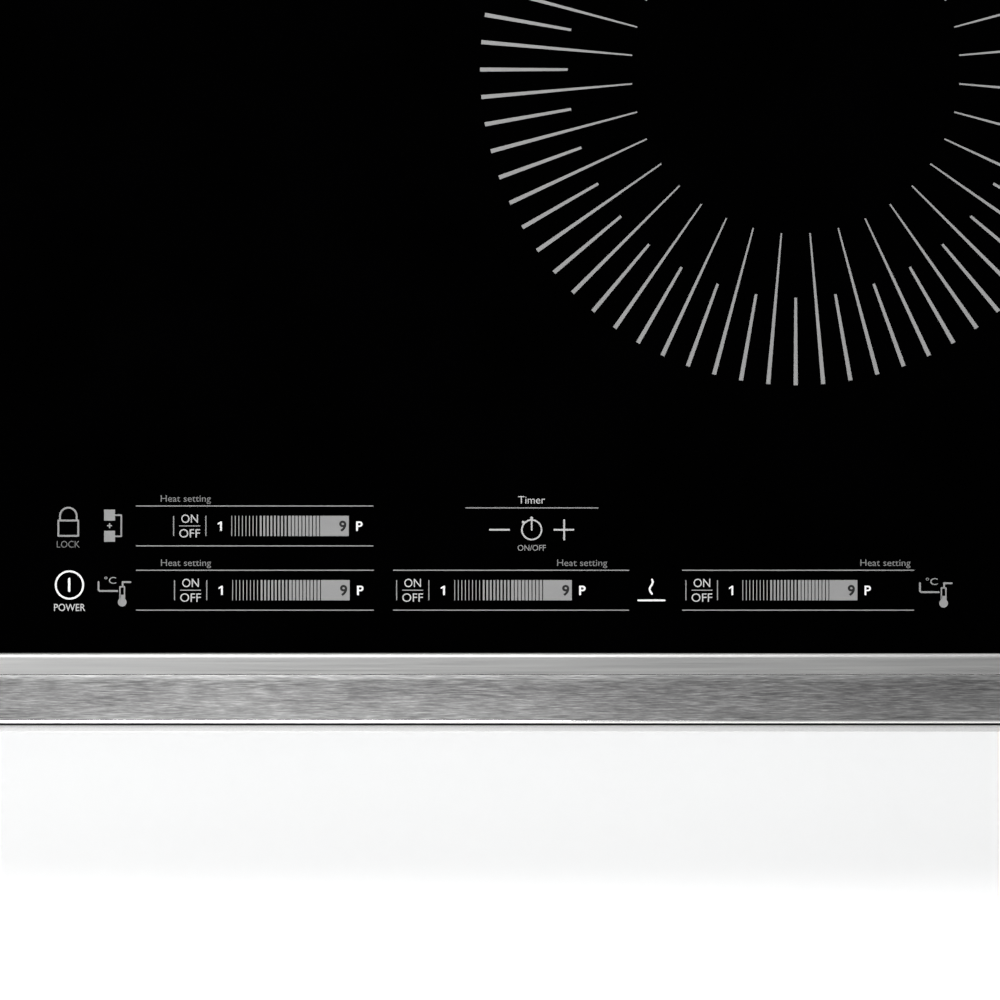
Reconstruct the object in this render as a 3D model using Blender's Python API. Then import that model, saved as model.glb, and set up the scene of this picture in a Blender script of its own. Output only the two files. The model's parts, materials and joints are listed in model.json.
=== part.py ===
"""Built-in induction cooktop, 30-inch class, with four cooking zones and a touch panel along the front.

Units are metres. +Z is up and the front, where the cook stands, faces -Y. The origin is on the
surface that the box stands on, under the middle of the top. Each solid is one real piece.
"""

import math

import bmesh
import bpy
from mathutils import Matrix, Vector

MM = 0.001
GAP = 0.3 * MM

# Overall size, and the levels of the top above the underside of the box.
WIDTH = 776 * MM
DEPTH = 546 * MM
WORKTOP_Z = 100 * MM
GLASS_THICK = 4 * MM
GLASS_LOW = WORKTOP_Z + 3.7 * MM
GLASS_TOP = GLASS_LOW + GLASS_THICK
GLASS_HALF_WIDTH = WIDTH / 2 - 1 * MM
GLASS_FRONT = -DEPTH / 2 + 23 * MM
GLASS_REAR = DEPTH / 2 - 9 * MM

# Front trim: a flat strip over the edge of the glass, a long slope, a nose, a groove and a foot.
TRIM_BACK = -DEPTH / 2 + 35.5 * MM
TRIM_TOP = GLASS_TOP + 1.9 * MM
TRIM_STRIP_START = TRIM_BACK - 2.4 * MM
TRIM_CREASE = TRIM_BACK - 9.3 * MM
TRIM_SLOPE_DROP = 5.0 * MM
TRIM_NOSE_RADIUS = 2.4 * MM
TRIM_NOSE_FRONT = -DEPTH / 2 + 3.9 * MM
TRIM_GROOVE = 0.9 * MM
TRIM_FOOT_TOP = WORKTOP_Z + 1.2 * MM
TRIM_FOOT_DEPTH = 11 * MM

# Rear trim: a plain cap over the rear edge of the glass.
REAR_TRIM_STRIP = 17 * MM
REAR_TRIM_TOP = GLASS_TOP + 1.5 * MM

# Seal under the rim, and the frame bonded under the glass.
GASKET_HALF = (384 * MM, 261 * MM)
GASKET_WIDTH = 11 * MM
FRAME_HALF = (362.5 * MM, 248.5 * MM)
FRAME_WIDTH = 14 * MM
FRAME_THICK = 1.1 * MM

# Burner box: one folded steel pan that hangs through the cut-out.
BOX_HALF = (358 * MM, 244 * MM)
BOX_SHEET = 1.0 * MM
BOX_FLANGE = 5 * MM
BOX_CORNER = 8 * MM
BOX_FLOOR = 2.5 * MM
BOX_FLANGE_Z = WORKTOP_Z + 1.0 * MM
FOOT_SIZE = (50 * MM, 26 * MM)
FOOT_CENTRE = (290 * MM, 212 * MM)
VENT_SLOT = (4 * MM, 34 * MM)
VENT_PITCH = 11 * MM
VENT_COUNT = 11
VENT_CENTRES = (-217 * MM, 160 * MM)
VENT_Z = 32 * MM

# Cooking zones: name, centre and radius of the copper winding.
ZONES = {
    "left_front": ((-266 * MM, -58 * MM), 82 * MM, 20),
    "left_rear": ((-266 * MM, 132 * MM), 82 * MM, -20),
    "centre_rear": ((-80 * MM, 130 * MM), 70 * MM, -120),
    "right": ((175.5 * MM, 21.2 * MM), 134 * MM, -109),
}
WINDING_BORE = 20 * MM
WINDING_THICK = 5 * MM
FORMER_THICK = 7 * MM
FORMER_RIM = 3 * MM
FORMER_HUB = 16 * MM
SPOKES = 8
SPOKE_WIDTH = 15 * MM
MICA_THICK = 0.6 * MM

# The shelf that carries the coils.
SHELF_X = 352 * MM
SHELF_Y = (-152 * MM, 236 * MM)
SHELF_LOW = 86 * MM
SHELF_THICK = 1.5 * MM
SHELF_FLANGE = 14 * MM
RAIL_SIZE = (20 * MM, 16 * MM)
RAIL_Y = (-130 * MM, 215 * MM)
SENSOR_HOLE = 8 * MM
LEAD_HOLE = 7 * MM

FORMER_Z = SHELF_LOW + SHELF_THICK + GAP
WINDING_Z = FORMER_Z + FORMER_THICK + GAP
MICA_Z = WINDING_Z + WINDING_THICK + GAP

# Pan sensors: a capped stem, sprung up against the glass.
STEM_RADIUS = 3 * MM
STEM_BORE = 3.4 * MM
CAP_RADIUS = 7.5 * MM
CAP_LOW = 98 * MM
STEM_LOW = 89 * MM

# Touch panel parts under the front of the glass.
TOUCH_X = (-172 * MM, 262 * MM)
TOUCH_Y = (-232 * MM, -158 * MM)
TOUCH_TRAY_Z = (88 * MM, GLASS_LOW - GAP)
TOUCH_BOARD_Z = 96 * MM
BOARD_THICK = 1.6 * MM

# Power electronics on the floor of the box; the fans blow rearwards through the heat sinks.
TRAY_HALF = (118 * MM, 130 * MM)
TRAY_CENTRES = {"left": (-227 * MM, 55 * MM), "right": (227 * MM, 55 * MM)}
TRAY_Z = (4 * MM, 12 * MM)
TRAY_FLOOR = 7.7 * MM
TRAY_WALL = 2 * MM
BOARD_Z = TRAY_FLOOR + GAP
ON_BOARD = BOARD_Z + BOARD_THICK + GAP
FAN_CENTRES = {"left": (-255 * MM, -150 * MM), "right": (195 * MM, -150 * MM)}
OUTLET_MIDDLE = 38 * MM
SINK_LENGTH = 130 * MM
SINK_BASE = 5 * MM
SINK_HEIGHT = 34 * MM
FINS = 10
FIN_PITCH = 5.5 * MM
FIN_THICK = 1.8 * MM
CHOKE_PLACES = {"left": (-140 * MM, 140 * MM), "right": (145 * MM, 125 * MM)}
CHOKE_RADIUS = 19 * MM
CHOKE_WIRE = 8 * MM
CAPACITOR_PLACES = {"left": (-305 * MM, 105 * MM), "right": (315 * MM, 105 * MM)}
CAPACITOR_SIZE = (28 * MM, 58 * MM, 36 * MM)
FILTER_X = (-72 * MM, 72 * MM)
FILTER_Y = (55 * MM, 215 * MM)

# Centrifugal fans, in their own frame: the axis is at x = y = 0 and the outlet faces +Y.
FAN_Z = (6 * MM, 46 * MM)
FAN_WALL = 2 * MM
SCROLL_START = 50 * MM
SCROLL_END = 62 * MM
OUTLET_INNER_X = 14 * MM
OUTLET_Y = 70 * MM
INLET_RADIUS = 34 * MM
ROTOR_RADIUS = 42 * MM
BLADE_INNER = 31 * MM
ROTOR_Z = (10 * MM, 33 * MM)
BLADES = 22
BLADE_SHARE = 0.24
BLADE_LEAN = math.radians(14)
MOTOR_RADIUS = 16 * MM
SHAFT_RADIUS = 2.4 * MM
GRILLE_RADIUS = 46 * MM
GRILLE_OPENING = 37 * MM
GRILLE_Z = (3.8 * MM, 5.0 * MM)
GRILLE_RINGS = (12 * MM, 20 * MM, 28 * MM, 36 * MM)

# Mains entry through the rear wall.
ENTRY = (292 * MM, BOX_HALF[1], 35 * MM)
ENTRY_HOLE = 14 * MM
ENTRY_BORE = 10.8 * MM
TERMINAL_CENTRE = (218 * MM, 222 * MM)
TERMINAL_SIZE = (56 * MM, 24 * MM, 22 * MM)

# Clamps that pull the cooktop down onto the worktop, one on each side.
CLAMP_X = 374 * MM
CLAMP_ARM_Z = 38 * MM
CLAMP_SHEET = 1.6 * MM
CLAMP_WIDTH = 36 * MM
CLAMP_RISE = 28 * MM
CLAMP_REACH = 386 * MM
SCREW_RADIUS = 3.0 * MM
SCREW_HOLE = 3.4 * MM
SCREW_Z = (3 * MM, 50 * MM)
KNOB_RADIUS = 9 * MM
KNOB_TOP = 11 * MM
PAD_Z = (47 * MM, 56 * MM)
PAD_RADIUS = 9 * MM

ROUND = 40
SMALL_ROUND = 16

FINISHES = {
    "black_glass": ((0.004, 0.004, 0.005), 0.06, 0.0),
    "brushed_steel": ((0.60, 0.60, 0.60), 0.30, 1.0),
    "foam": ((0.03, 0.03, 0.03), 0.95, 0.0),
    "galvanised": ((0.52, 0.54, 0.55), 0.45, 1.0),
    "aluminium": ((0.77, 0.78, 0.79), 0.40, 1.0),
    "black_plastic": ((0.03, 0.03, 0.032), 0.55, 0.0),
    "copper": ((0.72, 0.33, 0.17), 0.40, 1.0),
    "mica": ((0.62, 0.56, 0.44), 0.70, 0.0),
    "silicone": ((0.55, 0.10, 0.07), 0.60, 0.0),
    "circuit_board": ((0.03, 0.22, 0.09), 0.50, 0.0),
    "zinc": ((0.68, 0.68, 0.66), 0.35, 1.0),
    "grey_plastic": ((0.45, 0.46, 0.47), 0.55, 0.0),
    "yellow_film": ((0.75, 0.55, 0.08), 0.45, 0.0),
    "cable": ((0.05, 0.05, 0.05), 0.60, 0.0),
}


def clear_scene():
    for obj in list(bpy.data.objects):
        bpy.data.objects.remove(obj)


def finish(name):
    """The named finish as a Principled material, made once."""
    if name in bpy.data.materials:
        return bpy.data.materials[name]
    colour, roughness, metallic = FINISHES[name]
    material = bpy.data.materials.new(name)
    material.use_nodes = True
    shader = material.node_tree.nodes["Principled BSDF"]
    shader.inputs["Base Color"].default_value = (*colour, 1)
    shader.inputs["Roughness"].default_value = roughness
    shader.inputs["Metallic"].default_value = metallic
    return material


def node(name, bm, finish_name, location=(0, 0, 0), parent=None, smooth=False):
    """Turns a bmesh into a named piece and puts it in place."""
    bmesh.ops.recalc_face_normals(bm, faces=bm.faces)
    mesh = bpy.data.meshes.new(name)
    bm.to_mesh(mesh)
    bm.free()
    if smooth:
        mesh.shade_smooth()
        mesh.set_sharp_from_angle(angle=math.radians(35))
    mesh.materials.append(finish(finish_name))
    obj = bpy.data.objects.new(name, mesh)
    bpy.context.scene.collection.objects.link(obj)
    obj.location = location
    obj.parent = parent
    return obj


def pivot(name, location):
    """An empty that carries an assembly, on its axis."""
    empty = bpy.data.objects.new(name, None)
    bpy.context.scene.collection.objects.link(empty)
    empty.location = location
    return empty


def boolean(target, bm, operation="DIFFERENCE"):
    """Cuts bm from the target, or joins it on. The tool itself isn't a piece."""
    tool = node(f"{target.name}_{operation.lower()}", bm, "foam", target.location, target.parent)
    tool.hide_render = True
    tool.display_type = "WIRE"
    modifier = target.modifiers.new(operation.capitalize(), "BOOLEAN")
    modifier.operation = operation
    modifier.solver = "EXACT"
    modifier.object = tool


def soften(obj, width):
    """Takes the sharp edges off a piece."""
    modifier = obj.modifiers.new("Edges", "BEVEL")
    modifier.width = width
    modifier.segments = 1
    modifier.limit_method = "ANGLE"
    modifier.angle_limit = math.radians(40)


def add_box(bm, low, high):
    """A box between two corners; gives its vertices."""
    low, high = Vector(low), Vector(high)
    place = Matrix.Translation((low + high) / 2) @ Matrix.Diagonal((*(high - low), 1))
    return bmesh.ops.create_cube(bm, size=1, matrix=place)["verts"]


def add_cylinder(bm, centre, radius, z_range, segments=SMALL_ROUND):
    low, high = z_range
    place = Matrix.Translation((centre[0], centre[1], (low + high) / 2))
    bmesh.ops.create_cone(
        bm, cap_ends=True, segments=segments, radius1=radius, radius2=radius, depth=high - low, matrix=place
    )


def add_slab(bm, low, high, corner, segments=4):
    """A plate whose four upright edges are rounded."""
    verts = add_box(bm, low, high)
    upright = [
        edge
        for edge in {e for v in verts for e in v.link_edges}
        if abs(edge.verts[0].co.z - edge.verts[1].co.z) > 0.5 * (high[2] - low[2])
    ]
    bmesh.ops.bevel(bm, geom=upright, offset=corner, segments=segments, profile=0.5, affect="EDGES")


def add_turned(bm, profile, segments=ROUND):
    """Spins an (r, z) profile about Z. A profile that doesn't start on the axis is a closed ring."""
    verts = [bm.verts.new((r, 0, z)) for r, z in profile]
    follow = verts[1:] if profile[0][0] == 0 else verts[1:] + verts[:1]
    edges = [bm.edges.new(pair) for pair in zip(verts, follow)]
    bmesh.ops.spin(
        bm,
        geom=verts + edges,
        cent=(0, 0, 0),
        axis=(0, 0, 1),
        angle=2 * math.pi,
        steps=segments,
        use_merge=True,
    )
    bmesh.ops.remove_doubles(bm, verts=bm.verts, dist=1e-7)


def add_prism(bm, outline, height, place=None):
    """Extrudes a flat (u, v) outline by height along w, then places it."""
    face = bm.faces.new([bm.verts.new((u, v, 0)) for u, v in outline])
    made = bmesh.ops.extrude_face_region(bm, geom=[face])["geom"]
    top = [item for item in made if isinstance(item, bmesh.types.BMVert)]
    bmesh.ops.translate(bm, verts=top, vec=(0, 0, height))
    if place:
        bmesh.ops.transform(bm, verts=top + list(face.verts), matrix=place)


def along_x(start):
    """Places an outline drawn in (y, z) so that it is extruded along X from start."""
    return Matrix(((0, 0, 1, start), (1, 0, 0, 0), (0, 1, 0, 0), (0, 0, 0, 1)))


def along_y(start):
    """Places an outline drawn in (x, z) so that it is extruded along Y from start."""
    return Matrix(((1, 0, 0, 0), (0, 0, 1, start), (0, 1, 0, 0), (0, 0, 0, 1)))


def arc(centre, radius, start, end, steps):
    """Points of an arc in the plane, angles in degrees."""
    turns = [math.radians(start + (end - start) * i / steps) for i in range(steps + 1)]
    return [(centre[0] + radius * math.cos(t), centre[1] + radius * math.sin(t)) for t in turns]


def ring_plate(name, half, width, z_low, z_high, finish_name):
    """A flat rectangular ring, such as a seal or a frame."""
    bm = bmesh.new()
    bmesh.ops.create_grid(bm, x_segments=1, y_segments=1, size=1)
    bmesh.ops.scale(bm, vec=(half[0], half[1], 1), verts=bm.verts)
    bmesh.ops.translate(bm, vec=(0, 0, z_low), verts=bm.verts)
    middle = list(bm.faces)
    bmesh.ops.inset_region(bm, faces=middle, thickness=width, use_even_offset=True, use_boundary=True)
    bmesh.ops.delete(bm, geom=middle, context="FACES")
    made = bmesh.ops.extrude_face_region(bm, geom=list(bm.faces))["geom"]
    top = [item for item in made if isinstance(item, bmesh.types.BMVert)]
    bmesh.ops.translate(bm, verts=top, vec=(0, 0, z_high - z_low))
    return node(name, bm, finish_name)


# The top: glass, trims, seal and frame.


def glass_top():
    bm = bmesh.new()
    low = (-GLASS_HALF_WIDTH, GLASS_FRONT, GLASS_LOW)
    high = (GLASS_HALF_WIDTH, GLASS_REAR, GLASS_TOP)
    add_slab(bm, low, high, 2 * MM, segments=3)
    soften(node("glass_top", bm, "black_glass"), 0.8 * MM)


def front_trim_outline():
    """The trim in section, as (y, z): over the glass, down the slope, and back under the rim."""
    edge_rise = TRIM_TOP - (GLASS_TOP + GAP)
    shoulder = [
        (TRIM_STRIP_START + 2.4 * MM * math.cos(t), TRIM_TOP - edge_rise * (1 - math.sin(t)))
        for t in (math.radians(a) for a in (0, 25, 50, 70, 90))
    ]
    slope_end_z = TRIM_TOP - TRIM_SLOPE_DROP
    nose_centre = (TRIM_NOSE_FRONT + TRIM_NOSE_RADIUS, slope_end_z - TRIM_NOSE_RADIUS)
    nose = arc(nose_centre, TRIM_NOSE_RADIUS, 106, 180, 5)
    groove_floor = TRIM_FOOT_TOP - TRIM_GROOVE
    foot_front = -DEPTH / 2
    return [
        *shoulder,
        (TRIM_CREASE, TRIM_TOP),
        *nose,
        (TRIM_NOSE_FRONT, groove_floor),
        (TRIM_NOSE_FRONT - TRIM_GROOVE, groove_floor),
        (TRIM_NOSE_FRONT - TRIM_GROOVE, TRIM_FOOT_TOP),
        (foot_front + 0.4 * MM, TRIM_FOOT_TOP),
        (foot_front, TRIM_FOOT_TOP - 0.4 * MM),
        (foot_front, WORKTOP_Z),
        (foot_front + TRIM_FOOT_DEPTH, WORKTOP_Z),
        (foot_front + TRIM_FOOT_DEPTH, GLASS_LOW - GAP),
        (GLASS_FRONT - GAP, GLASS_LOW - GAP),
        (GLASS_FRONT - GAP, GLASS_TOP + GAP),
    ]


def trims():
    bm = bmesh.new()
    add_prism(bm, front_trim_outline(), WIDTH, along_x(-WIDTH / 2))
    node("front_trim", bm, "brushed_steel")
    back = DEPTH / 2
    over_glass = GLASS_TOP + GAP
    foot_start = GASKET_HALF[1] + 1 * MM
    outline = [
        (back - REAR_TRIM_STRIP, over_glass),
        (back - REAR_TRIM_STRIP, REAR_TRIM_TOP - 0.6 * MM),
        (back - REAR_TRIM_STRIP + 0.6 * MM, REAR_TRIM_TOP),
        *arc((back - 1.5 * MM, REAR_TRIM_TOP - 1.5 * MM), 1.5 * MM, 90, 0, 4),
        (back, WORKTOP_Z),
        (foot_start, WORKTOP_Z),
        (foot_start, GLASS_LOW - GAP),
        (GLASS_REAR + GAP, GLASS_LOW - GAP),
        (GLASS_REAR + GAP, over_glass),
    ]
    bm = bmesh.new()
    add_prism(bm, outline, WIDTH, along_x(-WIDTH / 2))
    node("rear_trim", bm, "brushed_steel")


# The burner box and what is fixed to its walls.


def burner_box():
    bm = bmesh.new()
    low = (-BOX_HALF[0], -BOX_HALF[1], BOX_FLOOR)
    high = (BOX_HALF[0], BOX_HALF[1], BOX_FLANGE_Z)
    add_slab(bm, low, high, BOX_CORNER)
    lid = [f for f in bm.faces if f.normal.z > 0.5]
    bmesh.ops.delete(bm, geom=lid, context="FACES_ONLY")
    rim = [e for e in bm.edges if e.is_boundary]
    made = bmesh.ops.extrude_edge_only(bm, edges=rim)["geom"]
    for vert in (item for item in made if isinstance(item, bmesh.types.BMVert)):
        vert.co.x += math.copysign(BOX_FLANGE, vert.co.x)
        vert.co.y += math.copysign(BOX_FLANGE, vert.co.y)
    box = node("burner_box", bm, "galvanised")
    box.data.flip_normals()
    sheet = box.modifiers.new("Sheet", "SOLIDIFY")
    sheet.thickness = BOX_SHEET
    sheet.offset = -1
    sheet.use_even_offset = True
    boolean(box, pressed_feet(), "UNION")
    boolean(box, box_openings())


def pressed_feet():
    """Four shallow pads pressed down from the floor, which the box stands on when it is on a bench."""
    bm = bmesh.new()
    for side in (-1, 1):
        for end in (-1, 1):
            x, y = side * FOOT_CENTRE[0], end * FOOT_CENTRE[1]
            low = (x - FOOT_SIZE[0] / 2, y - FOOT_SIZE[1] / 2, 0)
            high = (x + FOOT_SIZE[0] / 2, y + FOOT_SIZE[1] / 2, BOX_FLOOR + BOX_SHEET / 2)
            add_slab(bm, low, high, 6 * MM, segments=3)
    return bm


def box_openings():
    """Fan inlets in the floor, and the warm air vents and the mains entry in the rear wall."""
    bm = bmesh.new()
    for x, y in FAN_CENTRES.values():
        add_cylinder(bm, (x, y), GRILLE_OPENING, (BOX_FLOOR - 1 * MM, BOX_FLOOR + 3 * MM), 24)
    for centre in VENT_CENTRES:
        for i in range(VENT_COUNT):
            x = centre + (i - (VENT_COUNT - 1) / 2) * VENT_PITCH
            low = (x - VENT_SLOT[0] / 2, BOX_HALF[1] - 4 * MM, VENT_Z - VENT_SLOT[1] / 2)
            high = (x + VENT_SLOT[0] / 2, BOX_HALF[1] + 4 * MM, VENT_Z + VENT_SLOT[1] / 2)
            add_box(bm, low, high)
    x, y, z = ENTRY
    hole = bmesh.new()
    add_cylinder(hole, (0, 0), ENTRY_HOLE, (-5 * MM, 5 * MM), 24)
    bmesh.ops.transform(hole, verts=hole.verts, matrix=Matrix.Translation((x, y, z)) @ turned_to_y())
    mesh = bpy.data.meshes.new("entry_hole")
    hole.to_mesh(mesh)
    hole.free()
    bm.from_mesh(mesh)
    bpy.data.meshes.remove(mesh)
    return bm


def turned_to_y():
    """Turns a piece made about Z so that its axis is along Y, with its top facing the rear."""
    return Matrix.Rotation(math.radians(-90), 4, "X")


def fan_grilles():
    for side, (x, y) in FAN_CENTRES.items():
        bm = bmesh.new()
        add_cylinder(bm, (0, 0), GRILLE_RADIUS, GRILLE_Z, 32)
        grille = node(f"fan_grille_{side}", bm, "galvanised", (x, y, 0), smooth=True)
        slots = bmesh.new()
        for inner, outer in zip(GRILLE_RINGS, GRILLE_RINGS[1:]):
            rib = 1.4 * MM
            for start in range(0, 360, 90):
                hub = math.degrees(rib / inner)
                tip = math.degrees(rib / outer)
                outline = arc((0, 0), inner + rib, start + hub, start + 90 - hub, 4)
                outline += arc((0, 0), outer - rib, start + 90 - tip, start + tip, 6)
                add_prism(slots, outline, 4 * MM, Matrix.Translation((0, 0, GRILLE_Z[0] - 1 * MM)))
        boolean(grille, slots)


def mains_entry():
    """The bush in the rear wall for the supply conduit, and the terminal block behind it."""
    flange, neck = 18 * MM, ENTRY_HOLE - GAP
    outside = BOX_SHEET / 2 + GAP
    profile = [
        (ENTRY_BORE, -6 * MM),
        (neck, -6 * MM),
        (neck, outside),
        (flange, outside),
        (flange, 5 * MM),
        (neck, 6 * MM),
        (neck, 15 * MM),
        (ENTRY_BORE, 15 * MM),
    ]
    bm = bmesh.new()
    add_turned(bm, profile, 24)
    bmesh.ops.transform(bm, verts=bm.verts, matrix=turned_to_y())
    node("conduit_bush", bm, "zinc", ENTRY, smooth=True)
    bm = bmesh.new()
    width, depth, height = TERMINAL_SIZE
    add_box(bm, (-width / 2, -depth / 2, 0), (width / 2, depth / 2, height))
    x, y = TERMINAL_CENTRE
    block = node("terminal_block", bm, "grey_plastic", (x, y, BOX_FLOOR + BOX_SHEET + GAP))
    wells = bmesh.new()
    for i in range(4):
        well = (i - 1.5) * 13 * MM
        add_box(wells, (well - 4.5 * MM, -8 * MM, 9 * MM), (well + 4.5 * MM, 20 * MM, 30 * MM))
    boolean(block, wells)


# The coils and the shelf that carries them.


def lead_start(zone):
    """Where a coil's lead leaves the rim of its winding, and the hole that it goes down through."""
    (x, y), radius, angle = ZONES[zone]
    turn = math.radians(angle)
    reach = radius + 12 * MM
    start = (x + (radius + GAP) * math.cos(turn), y + (radius + GAP) * math.sin(turn))
    return start, (x + reach * math.cos(turn), y + reach * math.sin(turn))


def coil_shelf():
    bm = bmesh.new()
    x, (front, rear), low = SHELF_X, SHELF_Y, SHELF_LOW
    drop = low + SHELF_THICK - SHELF_FLANGE
    outline = [
        (-x, drop),
        (-x + SHELF_THICK, drop),
        (-x + SHELF_THICK, low),
        (x - SHELF_THICK, low),
        (x - SHELF_THICK, drop),
        (x, drop),
        (x, low + SHELF_THICK),
        (-x, low + SHELF_THICK),
    ]
    add_prism(bm, outline, rear - front, along_y(front))
    shelf = node("coil_shelf", bm, "aluminium")
    holes = bmesh.new()
    through = (low - 2 * MM, low + 4 * MM)
    for name, (centre, _, _) in ZONES.items():
        add_cylinder(holes, centre, SENSOR_HOLE, through)
        add_cylinder(holes, lead_start(name)[1], LEAD_HOLE, through)
    boolean(shelf, holes)


def shelf_rails():
    """An angle along each side wall of the box, which the edge of the shelf stands on."""
    width, height = RAIL_SIZE
    top = SHELF_LOW + SHELF_THICK - SHELF_FLANGE - GAP
    front, rear = RAIL_Y
    for side, sign in (("left", -1), ("right", 1)):
        wall = BOX_HALF[0] - BOX_SHEET - GAP
        outline = [
            (sign * wall, top),
            (sign * (wall - width), top),
            (sign * (wall - width), top - SHELF_THICK),
            (sign * (wall - SHELF_THICK), top - SHELF_THICK),
            (sign * (wall - SHELF_THICK), top - height),
            (sign * wall, top - height),
        ]
        bm = bmesh.new()
        add_prism(bm, outline, rear - front, along_y(front))
        node(f"shelf_rail_{side}", bm, "galvanised")


def spoke_window(inner, outer, start, end):
    """A sector between two spokes whose sides are parallel."""

    def bend(radius):
        return math.degrees(math.asin(SPOKE_WIDTH / 2 / radius))

    outline = arc((0, 0), outer, start + bend(outer), end - bend(outer), 4)
    outline += arc((0, 0), inner, end - bend(inner), start + bend(inner), 1)
    return outline


def coils():
    pitch = 360 / SPOKES
    for name, (centre, radius, _) in ZONES.items():
        assembly = pivot(f"coil_{name}", (*centre, 0))
        rim = radius + FORMER_RIM
        top = FORMER_Z + FORMER_THICK
        bm = bmesh.new()
        profile = [(STEM_BORE, FORMER_Z), (rim, FORMER_Z), (rim, top), (STEM_BORE, top)]
        add_turned(bm, profile, 32)
        former = node(f"coil_former_{name}", bm, "black_plastic", parent=assembly, smooth=True)
        windows = bmesh.new()
        for i in range(SPOKES):
            outline = spoke_window(FORMER_HUB + 8 * MM, rim - 5 * MM, i * pitch, (i + 1) * pitch)
            lift = Matrix.Translation((0, 0, FORMER_Z - 2 * MM))
            add_prism(windows, outline, FORMER_THICK + 4 * MM, lift)
        boolean(former, windows)
        bm = bmesh.new()
        low, high = WINDING_Z, WINDING_Z + WINDING_THICK
        edge = 0.8 * MM
        profile = [
            (WINDING_BORE, low),
            (radius, low),
            (radius, high - edge),
            (radius - edge, high),
            (WINDING_BORE + edge, high),
            (WINDING_BORE, high - edge),
        ]
        add_turned(bm, profile, 40)
        node(f"coil_winding_{name}", bm, "copper", parent=assembly, smooth=True)
        bm = bmesh.new()
        mica_bore = 10 * MM
        mica_top = MICA_Z + MICA_THICK
        profile = [(mica_bore, MICA_Z), (radius, MICA_Z), (radius, mica_top), (mica_bore, mica_top)]
        add_turned(bm, profile, 32)
        node(f"coil_insulator_{name}", bm, "mica", parent=assembly, smooth=True)
        bm = bmesh.new()
        contact = GLASS_LOW - GAP
        profile = [
            (0, STEM_LOW),
            (STEM_RADIUS, STEM_LOW),
            (STEM_RADIUS, CAP_LOW),
            (CAP_RADIUS, CAP_LOW),
            (CAP_RADIUS, contact - 0.8 * MM),
            (CAP_RADIUS - 0.8 * MM, contact),
            (0, contact),
        ]
        add_turned(bm, profile, SMALL_ROUND)
        node(f"pan_sensor_{name}", bm, "silicone", parent=assembly, smooth=True)


# Electronics.


def tray(name, low, high, floor, wall, finish_name):
    """A shallow open tray: a slab with its top let in."""
    bm = bmesh.new()
    add_box(bm, low, high)
    top = [f for f in bm.faces if f.normal.z > 0.5]
    bmesh.ops.inset_region(bm, faces=top, thickness=wall, use_even_offset=True)
    bmesh.ops.translate(bm, verts=list(top[0].verts), vec=(0, 0, floor - high[2]))
    return node(name, bm, finish_name)


def board(name, low_x, high_x, low_y, high_y, z):
    bm = bmesh.new()
    add_slab(bm, (low_x, low_y, z), (high_x, high_y, z + BOARD_THICK), 2 * MM, segments=2)
    return node(name, bm, "circuit_board")


def touch_panel():
    (x0, x1), (y0, y1), (z0, z1) = TOUCH_X, TOUCH_Y, TOUCH_TRAY_Z
    wall = 2 * MM
    floor = TOUCH_BOARD_Z - GAP
    tray("touch_tray", (x0, y0, z0), (x1, y1, z1), floor, wall, "black_plastic")
    inset = wall + 2 * GAP
    board("touch_board", x0 + inset, x1 - inset, y0 + inset, y1 - inset, TOUCH_BOARD_Z)


def power_stages():
    for side, (x, y) in TRAY_CENTRES.items():
        half_x, half_y = TRAY_HALF
        low, high = TRAY_Z
        corners = (x - half_x, y - half_y, low), (x + half_x, y + half_y, high)
        tray(f"board_tray_{side}", *corners, TRAY_FLOOR, TRAY_WALL, "black_plastic")
        inset = TRAY_WALL + 2 * GAP
        edges = x - half_x + inset, x + half_x - inset, y - half_y + inset, y + half_y - inset
        board(f"power_board_{side}", *edges, BOARD_Z)
        heat_sink(side)
        choke(side)
        width, depth, height = CAPACITOR_SIZE
        bm = bmesh.new()
        add_slab(bm, (-width / 2, -depth / 2, 0), (width / 2, depth / 2, height), 3 * MM, segments=2)
        capacitor = node(f"film_capacitor_{side}", bm, "yellow_film", (*CAPACITOR_PLACES[side], ON_BOARD))
        soften(capacitor, 0.8 * MM)
    board("filter_board", *FILTER_X, *FILTER_Y, BOARD_Z)


def heat_sink(side):
    """An extruded comb in line with the fan's outlet, its fins along the stream of air."""
    width = (FINS - 1) * FIN_PITCH + FIN_THICK
    outline = [(-width / 2, 0), (width / 2, 0)]
    for i in reversed(range(FINS)):
        left = -width / 2 + i * FIN_PITCH
        right = left + FIN_THICK
        fin = [(right, SINK_BASE), (right, SINK_HEIGHT), (left, SINK_HEIGHT), (left, SINK_BASE)]
        outline += fin[1:] if i == FINS - 1 else fin
    del outline[-1]
    bm = bmesh.new()
    add_prism(bm, outline, SINK_LENGTH, along_y(0))
    x = FAN_CENTRES[side][0] + OUTLET_MIDDLE
    y = FAN_CENTRES[side][1] + OUTLET_Y + 14 * MM
    node(f"heat_sink_{side}", bm, "aluminium", (x, y, ON_BOARD))


def choke(side):
    """A ring core with its winding, as one thick ring."""
    bm = bmesh.new()
    lift = ON_BOARD + CHOKE_WIRE
    bmesh.ops.create_circle(bm, segments=10, radius=CHOKE_WIRE)
    turn = Matrix.Translation((CHOKE_RADIUS, 0, lift)) @ Matrix.Rotation(math.pi / 2, 4, "X")
    bmesh.ops.transform(bm, verts=bm.verts, matrix=turn)
    geom = list(bm.verts) + list(bm.edges)
    bmesh.ops.spin(
        bm, geom=geom, cent=(0, 0, 0), axis=(0, 0, 1), angle=2 * math.pi, steps=20, use_merge=True
    )
    node(f"line_choke_{side}", bm, "copper", (*CHOKE_PLACES[side], 0), smooth=True)


# The fans.


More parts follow.
